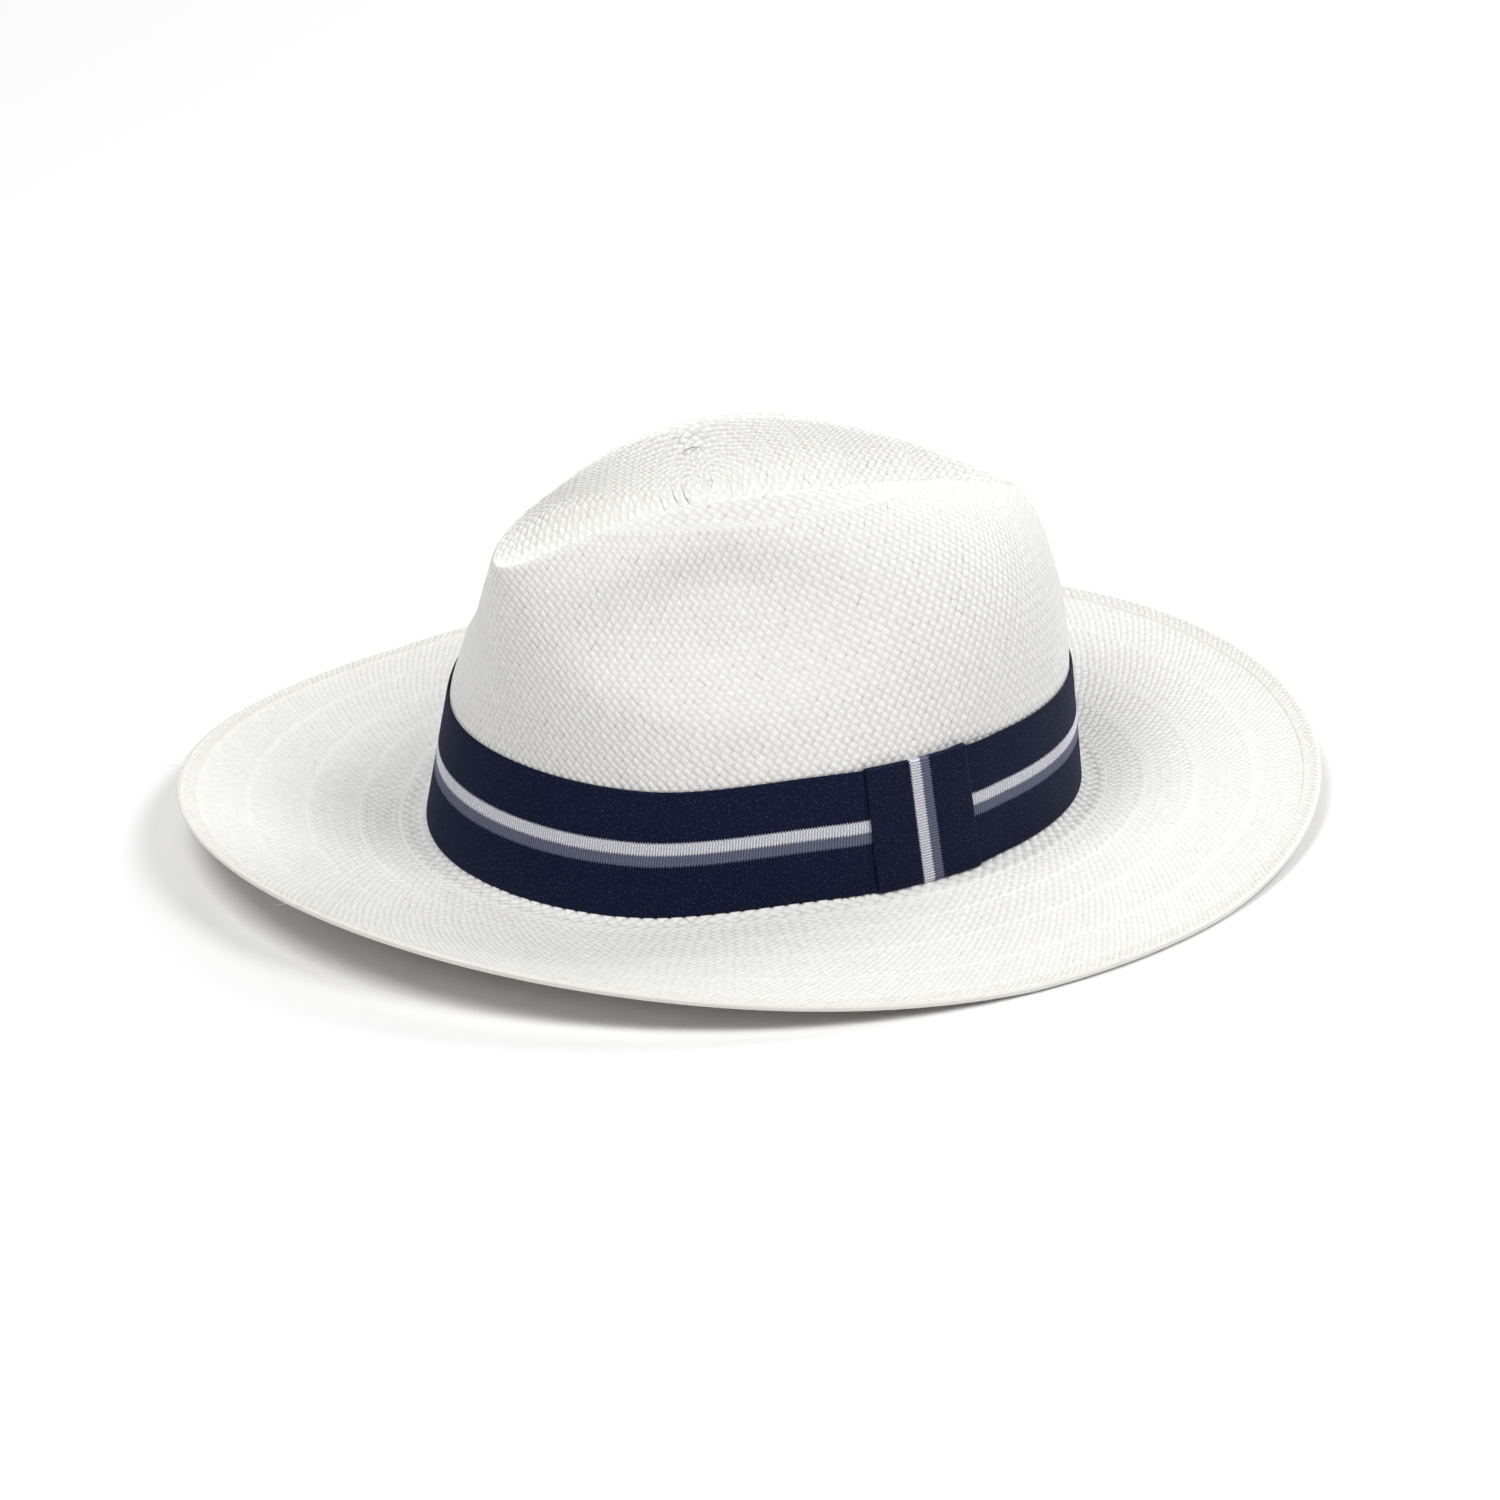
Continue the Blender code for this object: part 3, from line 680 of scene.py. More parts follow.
@dataclass(frozen=True)
class GrosgrainFinish:
    """Ribbed ribbon in navy with a white and a grey-blue stripe, with painted sheen on the weft and
    painted shade between the ribs.
    """

    name: str
    navy: tuple[float, float, float] = (0.0040, 0.0092, 0.0400)
    white: tuple[float, float, float] = (0.84, 0.84, 0.93)
    grey: tuple[float, float, float] = (0.160, 0.172, 0.262)
    white_from: float = 0.414
    grey_from: float = 0.510
    grey_to: float = 0.601
    stripe_edge: float = 0.006
    fleck: tuple[float, float, float] = (0.34, 0.36, 0.46)

    def material(self) -> bpy.types.Material:
        """Builds the shader. The map's second axis runs across the ribbon, 0 to 1."""
        sketch = NodeSketch(self.name)
        place = sketch.node("ShaderNodeUVMap", {"uv_map": "Ribbon"}).outputs["UV"]
        split = sketch.node("ShaderNodeSeparateXYZ", Vector=place)
        along, across = split.outputs["X"], split.outputs["Y"]
        wobble = sketch.node(
            "ShaderNodeTexNoise", {"noise_dimensions": "1D"}, W=along, Scale=2600.0, Detail=0.0
        )
        turns = sketch.maths("COSINE", sketch.maths("MULTIPLY", along, FULL_TURN / RIB_PITCH))
        dip = sketch.maths("MULTIPLY_ADD", turns, 0.5, 0.5)
        edge = sketch.maths("MULTIPLY_ADD", wobble.outputs[0], 0.010, across)
        edge = sketch.maths("MULTIPLY_ADD", dip, 0.012, edge)
        stripes = [
            (self.white_from, self.navy, self.white),
            (self.grey_from, self.white, self.grey),
            (self.grey_to, self.grey, self.navy),
        ]
        stops = []
        for start, before, after in stripes:
            stops += [(start, before), (start + self.stripe_edge, after)]
        weft = sketch.noise(place, (2400.0, 190.0), 2.0)
        # Weft noise varies the threads' tone and paints sheen on them, up to about twice as bright.
        weft_tone_and_sheen = [(0.32, (0.55, 0.55, 0.55)), (0.58, (1.0, 1.0, 1.0)), (0.74, (2.1, 2.0, 1.9))]
        # Painted shade between the ribs: darker in the rib valleys, a little lighter on the rib tops.
        ribs = [(0.1, (1.10, 1.10, 1.10)), (0.9, (0.60, 0.60, 0.60))]
        colour = sketch.mix(1.0, sketch.ramp(edge, stops), sketch.ramp(weft, weft_tone_and_sheen), "MULTIPLY")
        colour = sketch.mix(1.0, colour, sketch.ramp(dip, ribs), "MULTIPLY")
        dust = sketch.noise(place, (1500.0, 62.0), 0.0)
        fleck = sketch.maths("MULTIPLY", sketch.maths("GREATER_THAN", dust, 0.69), 0.07)
        sketch.colour(sketch.mix(fleck, colour, self.fleck))
        sketch.surface(
            Roughness=0.6, Specular_IOR_Level=0.12, Sheen_Weight=0.03, Sheen_Roughness=0.4
        )
        sketch.bump(weft, 0.07 * MM, 0.9)
        return sketch.material


@dataclass(frozen=True)
class LeatherFinish:
    """Smooth light-brown leather with a fine grain."""

    name: str
    light: tuple[float, float, float] = (0.46, 0.29, 0.16)
    dark: tuple[float, float, float] = (0.33, 0.19, 0.10)

    def material(self) -> bpy.types.Material:
        """Builds the shader."""
        sketch = NodeSketch(self.name)
        place = sketch.node("ShaderNodeTexCoord").outputs["Object"]
        cloud = sketch.node("ShaderNodeTexNoise", Vector=place, Scale=45.0, Detail=4.0).outputs[0]
        grain = sketch.node("ShaderNodeTexVoronoi", Vector=place, Scale=1400.0).outputs[0]
        sketch.colour(sketch.ramp(cloud, [(0.3, self.dark), (0.7, self.light)]))
        sketch.surface(Roughness=0.48)
        sketch.bump(grain, 0.08 * MM, 0.5)
        return sketch.material


@dataclass(frozen=True)
class CottonFinish:
    """Off-white woven cotton, for thread, tape, bow and tab."""

    name: str
    light: tuple[float, float, float] = (0.74, 0.72, 0.66)
    dark: tuple[float, float, float] = (0.58, 0.56, 0.50)
    pitch: float = 0.7 * MM

    def material(self) -> bpy.types.Material:
        """Builds the shader."""
        sketch = NodeSketch(self.name)
        place = sketch.node("ShaderNodeTexCoord").outputs["Object"]
        waves = [
            sketch.node(
                "ShaderNodeTexWave",
                {"bands_direction": way},
                Vector=place,
                Scale=0.314 / self.pitch,
                Distortion=0.4,
            ).outputs[1]
            for way in ("X", "Z")
        ]
        cloth = sketch.maths("MULTIPLY", waves[0], waves[1])
        sketch.colour(sketch.ramp(cloth, [(0.0, self.dark), (0.5, self.light)]))
        sketch.surface(Roughness=0.85)
        sketch.bump(cloth, 0.1 * MM, 0.6)
        return sketch.material


# The third colour of each straw finish is its painted shade for the hollows between the tiles.
WHITE_STRAW = StrawFinish(
    "White straw", (0.92, 0.92, 0.905), (0.84, 0.835, 0.81), (0.72, 0.695, 0.645)
)
EDGE_STRAW = StrawFinish("Edge straw", (0.90, 0.89, 0.86), (0.80, 0.785, 0.74), (0.62, 0.58, 0.51))
BAND_RIBBON = GrosgrainFinish("Striped grosgrain")
KEEPER_RIBBON = GrosgrainFinish(
    "Striped grosgrain, keeper", white_from=0.425, grey_from=0.525, grey_to=0.615
)
LEATHER = LeatherFinish("Tan leather")
COTTON = CottonFinish("Off-white cotton")
STITCH = CottonFinish("Stitching thread", (0.80, 0.78, 0.70), (0.62, 0.60, 0.52), 0.4 * MM)


def painted(
    piece: bpy.types.Object, material: bpy.types.Material, slot: str, *nodes: str
) -> bpy.types.Object:
    """Gives a piece its finish and its place in the frame.

    Args:
        piece: the object.
        material: its finish.
        slot: the frame's material slot; not used.
        *nodes: the frame's pieces that it is shown instead of.

    Returns:
        The same object.
    """
    piece.data.materials.append(material)
    if nodes:
        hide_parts(*nodes)
    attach(piece, "root")
    return piece


@dataclass
class Crown:
    """The woven crown, from the middle of its weave down to the brim break."""

    block: HatBlock
    material: bpy.types.Material
    centre: tuple[float, float] = (-20.0 * MM, -1.0 * MM)
    rounding: float = 1.3 * MM
    half_row: float = 1.535 * MM
    thickness: float = 0.95 * MM
    hidden_foot: float = 34.0 * MM
    columns: tuple[int, ...] = (8, 16, 24, 32, 48, 64, 96, 128, 192)
    parting: int = 7
    around: int = 360
    down: int = 620
    fine_steps: int = 720
    middle_size: float = 0.62
    gap: float = 0.10 * MM

    def skin(self) -> tuple[Skin, float]:
        """Lays the surface out so that the weave spreads evenly from its middle.

        Returns:
            The skin, with runs in equal lengths, and its mean length in metres.
        """
        block, count = self.block, self.around
        turn = np.linspace(0.0, FULL_TURN, count, endpoint=False)
        fine = np.linspace(-np.pi, 3.0 * np.pi, 8001)
        crest = block.ridge(fine)
        towards = np.unwrap(np.arctan2(crest[:, 0] - self.centre[0], self.centre[1] - crest[:, 1]))
        towards -= FULL_TURN * np.round((towards[0] + np.pi) / FULL_TURN)
        at_ridge = np.interp(turn, towards, fine)
        columns = []
        for u in np.linspace(0.0, 3.0, self.fine_steps):
            blend = smooth_step(0.0, 1.9, u)
            angle = at_ridge * (1.0 - blend) + turn * blend
            if u < 1.0:
                rim = block.ridge(angle)
                across = self.centre[0] + u * (rim[:, 0] - self.centre[0])
                along = self.centre[1] + u * (rim[:, 1] - self.centre[1])
                points = np.stack([across, along, block.dent_height(across, along)], -1)
            elif u < 2.0:
                points = block.crown_side(angle, 2.0 - u + 0.0 * angle)
            else:
                points = block.oval(turn, block.band_zone * (3.0 - u) + 0.0 * turn)
            columns.append(points)
        grid = np.stack(columns, 1)
        lengths = np.linalg.norm(np.diff(grid, axis=1), axis=-1)
        travelled = np.concatenate([np.zeros((count, 1)), np.cumsum(lengths, 1)], 1)
        mean = float(travelled[:, -1].mean())
        share = np.linspace(0.0, 1.0, self.down)
        even = np.empty((count, self.down, 3))
        for i in range(count):
            wanted = mean * share + (travelled[i, -1] - mean) * smooth_step(0.0, 1.0, share)
            for axis in range(3):
                even[i, :, axis] = np.interp(wanted, travelled[i], grid[i, :, axis])
        foot = even[:, -1].copy()
        even = evened(even, 1.6, self.rounding / mean * self.down)
        even[:, -1] = foot
        return Skin(even), mean

    def zones(self, mean: float) -> list[WeaveZone]:
        """Splits the run where the number of strands around grows."""
        pitch, gap = 2.0 * self.half_row, self.gap
        inner = [pitch * self.middle_size]
        inner += [
            pitch * np.sqrt(a * b) / FULL_TURN for a, b in zip(self.columns, self.columns[1:])
        ]
        inner.append(mean - self.hidden_foot)
        zones = []
        for number, (count, start, end) in enumerate(zip(self.columns, inner, inner[1:])):
            rows = max(int(round((end - start - gap) / self.half_row)), 1)
            ends = (start + gap / 2) / mean, (end - gap / 2) / mean
            relief = Relief.SOFT if number < self.parting else Relief.TILES
            zones.append(WeaveZone(count, *ends, rows, relief))
        return zones

    def build(self) -> list[bpy.types.Object]:
        """Makes the tip and the side as two closed woven shells."""
        skin, mean = self.skin()
        zones = self.zones(mean)
        tip_zones, side_zones = zones[: self.parting], zones[self.parting :]
        lining = skin.lined(self.thickness)
        tip = StrawMesh(11)
        first, outer_end = tip.weave_zones(skin, tip_zones)
        tip.cap(first, True)
        inner_end, middle = tip.weave_zones(lining, turned_over(tip_zones))
        tip.join(outer_end, inner_end)
        tip.cap(middle, False)
        side = StrawMesh(12)
        outer_edge, inner_edge = (
            Ring(side.add_points(tip.points[ring.ids]), ring.turns)
            for ring in (outer_end, inner_end)
        )
        first, last = side.weave_zones(skin, side_zones)
        side.join(outer_edge, first)
        foot = [side_zones[-1].end + 0.001, 0.90, 0.96, 0.995]
        upper, lower = side.rings(skin, foot, self.columns[-1])
        side.join(last, upper)
        rising, raised = side.rings(lining, [1.0 - run for run in foot[::-1]], self.columns[-1])
        side.join(lower, rising)
        back, middle = side.weave_zones(lining, turned_over(side_zones))
        side.join(raised, back)
        side.join(middle, inner_edge)
        side.join(inner_edge, outer_edge)
        return [
            painted(tip.finish("woven_tip"), self.material, "straw", "crown_tip"),
            painted(side.finish("woven_side"), self.material, "straw", "crown_side", "crown_foot"),
        ]


@dataclass
class Brim:
    """The woven brim with its coarser plait at the foot and its doubled edge."""

    block: HatBlock
    material: bpy.types.Material
    edge_material: bpy.types.Material
    inner: float = -1.0 * MM
    thickness: float = 0.95 * MM
    fillet: float = 0.8 * MM
    under_edge: float = 0.6 * MM
    gap: float = 0.11 * MM
    edge_columns: int = 416

    def top(self, start: float, end: float, steps: int) -> Array:
        """Grid of the upper face between two distances from the break."""
        block = self.block
        turn = np.linspace(0.0, FULL_TURN, 360, endpoint=False)[:, None]
        away = np.linspace(start, end, steps)[None]
        width = block.brim_width + block.brim_longer * np.cos(2.0 * turn)
        share = away / block.brim_width + 0.0 * turn
        grid = block.brim_top(turn + 0.0 * share, share)
        grid[..., 2] += self.fillet * np.exp(-np.maximum(share * width, 0.0) / (1.2 * MM))
        return grid

    def build(self) -> list[bpy.types.Object]:
        """Makes the brim and its edge."""
        edge = self.block.brim_width - self.block.edge_width
        end = edge + self.under_edge
        skin = Skin(self.top(self.inner, end, 220))
        lining = skin.lined(self.thickness)
        span = end - self.inner
        stations = [
            (144, 0.0, 8.4 * MM, 4, Relief.PLAIT),
            (208, 8.4 * MM, 20.0 * MM, 8, Relief.TILES),
            (256, 20.0 * MM, 35.0 * MM, 10, Relief.TILES),
            (320, 35.0 * MM, 52.0 * MM, 13, Relief.TILES),
            (384, 52.0 * MM, edge + 0.4 * MM, 11, Relief.TILES),
        ]
        zones = []
        for columns, start, end, rows, relief in stations:
            ends = (start + self.gap - self.inner) / span, (end - self.gap - self.inner) / span
            zones.append(WeaveZone(columns, *ends, rows, relief))
        body = StrawMesh(21)
        first, last = body.weave_zones(skin, zones)
        foot, step = body.rings(skin, [0.0, zones[0].start - 0.002], zones[0].columns)
        body.join(step, first)
        back, near = body.weave_zones(lining, turned_over(zones))
        body.join(last, back)
        body.join(near, foot)
        brim = painted(body.finish("woven_brim"), self.material, "straw", "brim")
        return [brim, self.edge()]

    def edge(self) -> bpy.types.Object:
        """The doubled edge: a step up from the brim, a rounded rim and a flat underside."""
        block = self.block
        width, thick = block.edge_width, block.edge_thickness - 0.2 * MM
        half = thick / 2.0
        bends = np.linspace(np.pi / 2, -np.pi / 2, 13)
        reach = width - half * 0.72
        flat = np.linspace(0.0, reach, 40)
        profile = [(x, 0.0) for x in flat[:-1]]
        profile += [(reach + half * 0.72 * np.cos(a), half * (np.sin(a) - 1.0)) for a in bends]
        profile += [(x, -thick) for x in flat[-2::-1]]
        offsets = np.array(profile)
        turn = np.linspace(0.0, FULL_TURN, 720, endpoint=False)[:, None]
        share = (block.brim_width - width + offsets[:, 0])[None] / block.brim_width + 0.0 * turn
        grid = block.brim_top(turn + 0.0 * share, share)
        grid[..., 2] += (offsets[:, 1] + StrawMesh.groove_depth)[None]
        grid[..., 2] += (offsets[:, 0] / width)[None] ** 3 * 0.15 * MM
        skin = Skin(grid)
        total = len(profile) - 1
        mesh = StrawMesh(31)
        columns = self.edge_columns
        top = WeaveZone(columns, 3.0 / total, 36.0 / total, 4)
        first, last = mesh.weave(skin, top)
        rim_runs = [index / total for index in (37.0, 39.5, 42.0, 45.0, 48.0, 50.5, 53.0)]
        upper, lower = mesh.rings(skin, rim_runs, columns)
        mesh.join(last, upper)
        back, near = mesh.weave_zones(skin, turned_over([top]))
        mesh.join(lower, back)
        foot, head = mesh.rings(skin, [1.0 - 1.0 / total, 1.0], columns)
        mesh.join(near, foot)
        inner, start = mesh.rings(skin, [0.0, 1.0 / total], columns)
        mesh.join(head, inner)
        mesh.join(start, first)
        return painted(
            mesh.finish("doubled_edge"), self.edge_material, "straw_edge", "brim_edge"
        )


def solid(
    name: str, rows: Array, uvs: Array | None = None, closed: bool = False
) -> bpy.types.Object:
    """Makes a smooth mesh from a closed profile that is swept along.

    Args:
        name: the piece's name.
        rows: profile by station by xyz. The profile closes on itself.
        uvs: the same layout by two, for a map named Ribbon.
        closed: True where the sweep closes on itself too, otherwise its ends are capped.

    Returns:
        The new object, linked to the scene.
    """
    profile, stations = rows.shape[:2]
    number = np.arange(profile * stations).reshape(profile, stations)
    after = np.roll(number, -1, 0)
    if closed:
        faces = np.stack([number, np.roll(number, -1, 1), np.roll(after, -1, 1), after], -1)
    else:
        faces = np.stack([number[:, :-1], number[:, 1:], after[:, 1:], after[:, :-1]], -1)
    quads = faces.reshape(-1, 4).tolist()
    if not closed:
        half = profile // 2
        for end, way in ((0, 1), (stations - 1, -1)):
            ring = number[:, end]
            for k in range(half - 1):
                cap = [ring[k], ring[k + 1], ring[profile - 2 - k], ring[profile - 1 - k]]
                quads.append([int(v) for v in cap[::way]])
    mesh = bpy.data.meshes.new(name)
    mesh.from_pydata(rows.reshape(-1, 3).tolist(), [], quads)
    if uvs is not None:
        layer = mesh.uv_layers.new(name="Ribbon")
        flat = uvs.reshape(-1, 2)
        index = np.empty(len(mesh.loops), dtype=np.int32)
        mesh.loops.foreach_get("vertex_index", index)
        layer.uv.foreach_set("vector", flat[index].astype(np.float32).reshape(-1))
    mesh.validate()
    return facing_out(linked(name, mesh))


def rods(name: str, rings: Array) -> bpy.types.Object:
    """Makes one piece of many thin closed rods.

    Args:
        name: the piece's name.
        rings: rod by station by corner by xyz.

    Returns:
        The new object, linked to the scene.
    """
    number = np.arange(rings[..., 0].size).reshape(rings.shape[:3])
    after = np.roll(number, -1, 2)
    walls = np.stack([number[:, :-1], after[:, :-1], after[:, 1:], number[:, 1:]], -1)
    faces = walls.reshape(-1, 4).tolist() + number[:, 0, ::-1].tolist() + number[:, -1].tolist()
    mesh = bpy.data.meshes.new(name)
    mesh.from_pydata(rings.reshape(-1, 3).tolist(), [], faces)
    return facing_out(linked(name, mesh))


def facing_out(piece: bpy.types.Object) -> bpy.types.Object:
    """Turns all faces of a closed piece outwards."""
    work = bmesh.new()
    work.from_mesh(piece.data)
    bmesh.ops.recalc_face_normals(work, faces=work.faces)
    work.to_mesh(piece.data)
    work.free()
    return piece


def length_of(points: Array) -> float:
    """Length of a line of points."""
    return float(np.linalg.norm(np.diff(points, axis=0), axis=1).sum())


@dataclass
class RibbonTrim:
    """The striped band around the crown and the keeper over its join."""

    block: HatBlock
    band_material: bpy.types.Material
    keeper_material: bpy.types.Material
    width: float = 37.2 * MM
    thickness: float = 0.42 * MM
    low: float = 1.05 * MM
    place: float = np.radians(86.9)
    keeper_width: float = 36.0 * MM
    swell: float = 0.85 * MM
    clearance: float = 0.3 * MM
    girth_radius: float = 95.5 * MM
    rib_height: float = 0.18 * MM
    lean: float = np.radians(3.0)

    def keeper_half(self) -> float:
        """Half the keeper's width as an angle."""
        step = 0.01
        ends = self.block.oval(self.place + np.array([-step, step]), np.zeros(2))
        return self.keeper_width / float(np.linalg.norm(ends[1] - ends[0])) * step

    def band_off(self, turn: Array) -> Array:
        """How far the band's inner face stands off the straw."""
        away = from_front(turn - self.place)
        reach = np.degrees(self.keeper_half())
        return self.clearance + self.swell * (1.0 - smooth_step(reach + 1.0, reach + 9.0, away))

    def band(self) -> bpy.types.Object:
        """One turn of ribbon whose ends meet under the keeper."""
        opening = 0.6 * MM / self.block.half_length
        count = int(FULL_TURN * self.girth_radius / RIB_PITCH) * 2 + 1
        turn = self.place + np.linspace(opening, FULL_TURN - opening, count)
        heights = self.width * np.array([0.0, 0.008, 0.03, 0.2, 0.4, 0.6, 0.8, 0.97, 0.992, 1.0])
        relief = np.array([0.35, 0.8, 1.0, 1.0, 1.0, 1.0, 1.0, 1.0, 0.8, 0.35])
        ribs = self.rib_height * (np.arange(count) % 2)
        rows, uvs = [], []
        along = np.arange(count) * RIB_PITCH / 2.0
        ease = 0.12 * MM * np.sin(5.0 * turn + 0.6)
        faces = [(height, full, 1.0) for height, full in zip(heights, relief)]
        faces += [(height, 0.0, 0.0) for height in heights[::-1]]
        for height, full, outside in faces:
            share = height / self.width
            rise = (self.thickness * (0.55 + 0.45 * full) + ribs * full) * outside
            level = self.low + height + ease * (2.0 * share - 1.0)
            rows.append(self.block.wall(turn, self.band_off(turn) + rise, level))
            uvs.append(np.stack([along, 1.0 - share + 0.0 * along], -1))
        piece = solid("ribbon_band", np.array(rows), np.array(uvs))
        painted(piece, self.band_material, "ribbon", "ribbon_band")
        length = length_of(self.block.wall(turn, self.band_off(turn), self.low + self.width / 2))
        log.info("Band of ribbon: %.4f by %.4f m flat.", self.width, length)
        return piece

    def loop_line(self) -> tuple[Array, Array]:
        """Rounded rectangle that the keeper follows: offs and heights, and its normals."""
        inside, outside = -0.5 * MM, 1.03 * MM
        low, high = self.low - 0.25 * MM, self.low + self.width + 0.3 * MM
        radius, points, normals = 0.55 * MM, [], []
        corners = [
            (outside - radius, high - radius, 90.0, 0.0),
            (outside - radius, low + radius, 0.0, -90.0),
            (inside + radius, low + radius, -90.0, -180.0),
            (inside + radius, high - radius, -180.0, -270.0),
        ]
        for off, height, start, end in corners:
            for angle in np.radians(np.linspace(start, end, 5)):
                normal = np.array([np.cos(angle), np.sin(angle)])
                points.append(np.array([off, height]) + normal * radius)
                normals.append(normal)
        points, normals = np.array(points + points[:1]), np.array(normals + normals[:1])
        steps = np.concatenate([[0.0], np.cumsum(np.linalg.norm(np.diff(points, axis=0), axis=1))])
        count = int(steps[-1] / RIB_PITCH) * 2
        wanted = np.linspace(0.0, steps[-1], count, endpoint=False)
        places, ways = (
            np.stack([np.interp(wanted, steps, values[:, k]) for k in (0, 1)], 1)
            for values in (points, normals)
        )
        return places, unit(ways)

    def keeper(self) -> bpy.types.Object:
        """A loop of ribbon around the band: in front of it, over, behind and under it."""
        half = self.keeper_half()
        line, normals = self.loop_line()
        count = len(line)
        across = np.array([-1.0, -0.985, -0.94, -0.6, -0.2, 0.2, 0.6, 0.94, 0.985, 1.0])
        relief = np.array([0.3, 0.8, 1.0, 1.0, 1.0, 1.0, 1.0, 1.0, 0.8, 0.3])
        ribs = self.rib_height * (np.arange(count) % 2)
        run = np.arange(count) * RIB_PITCH / 2.0
        front = smooth_step(0.0, 0.8 * MM, line[:, 0])
        rows, uvs = [], []
        sides = [(a, f, 1.0) for a, f in zip(across, relief)]
        sides += [(a, 0.0, -1.0) for a in across[::-1]]
        for place, full, side in sides:
            turn = self.place + half * place - self.lean * (line[:, 1] / self.width - 0.5)
            depth = side * self.thickness / 2.0 * (0.6 + 0.4 * full) + ribs * full
            cup = 0.35 * MM * (place**2 - 0.4) * front
            corner = smooth_step(0.55, 1.0, place) * smooth_step(0.85, 1.0, line[:, 1] / 39.5 / MM)
            off = line[:, 0] + normals[:, 0] * depth + cup * 0.5 + corner * 0.5 * MM * front
            level = line[:, 1] + normals[:, 1] * depth + corner * 0.7 * MM
            rows.append(self.block.wall(turn, self.band_off(turn) + off, level))
            uvs.append(np.stack([run, (place + 1.0) / 2.0 + 0.0 * run], -1))
        piece = solid("ribbon_keeper", np.array(rows), np.array(uvs), closed=True)
        painted(piece, self.keeper_material, "ribbon", "ribbon_keeper")
        return piece

    def build(self) -> list[bpy.types.Object]:
        """Makes both."""
        return [self.band(), self.keeper()]


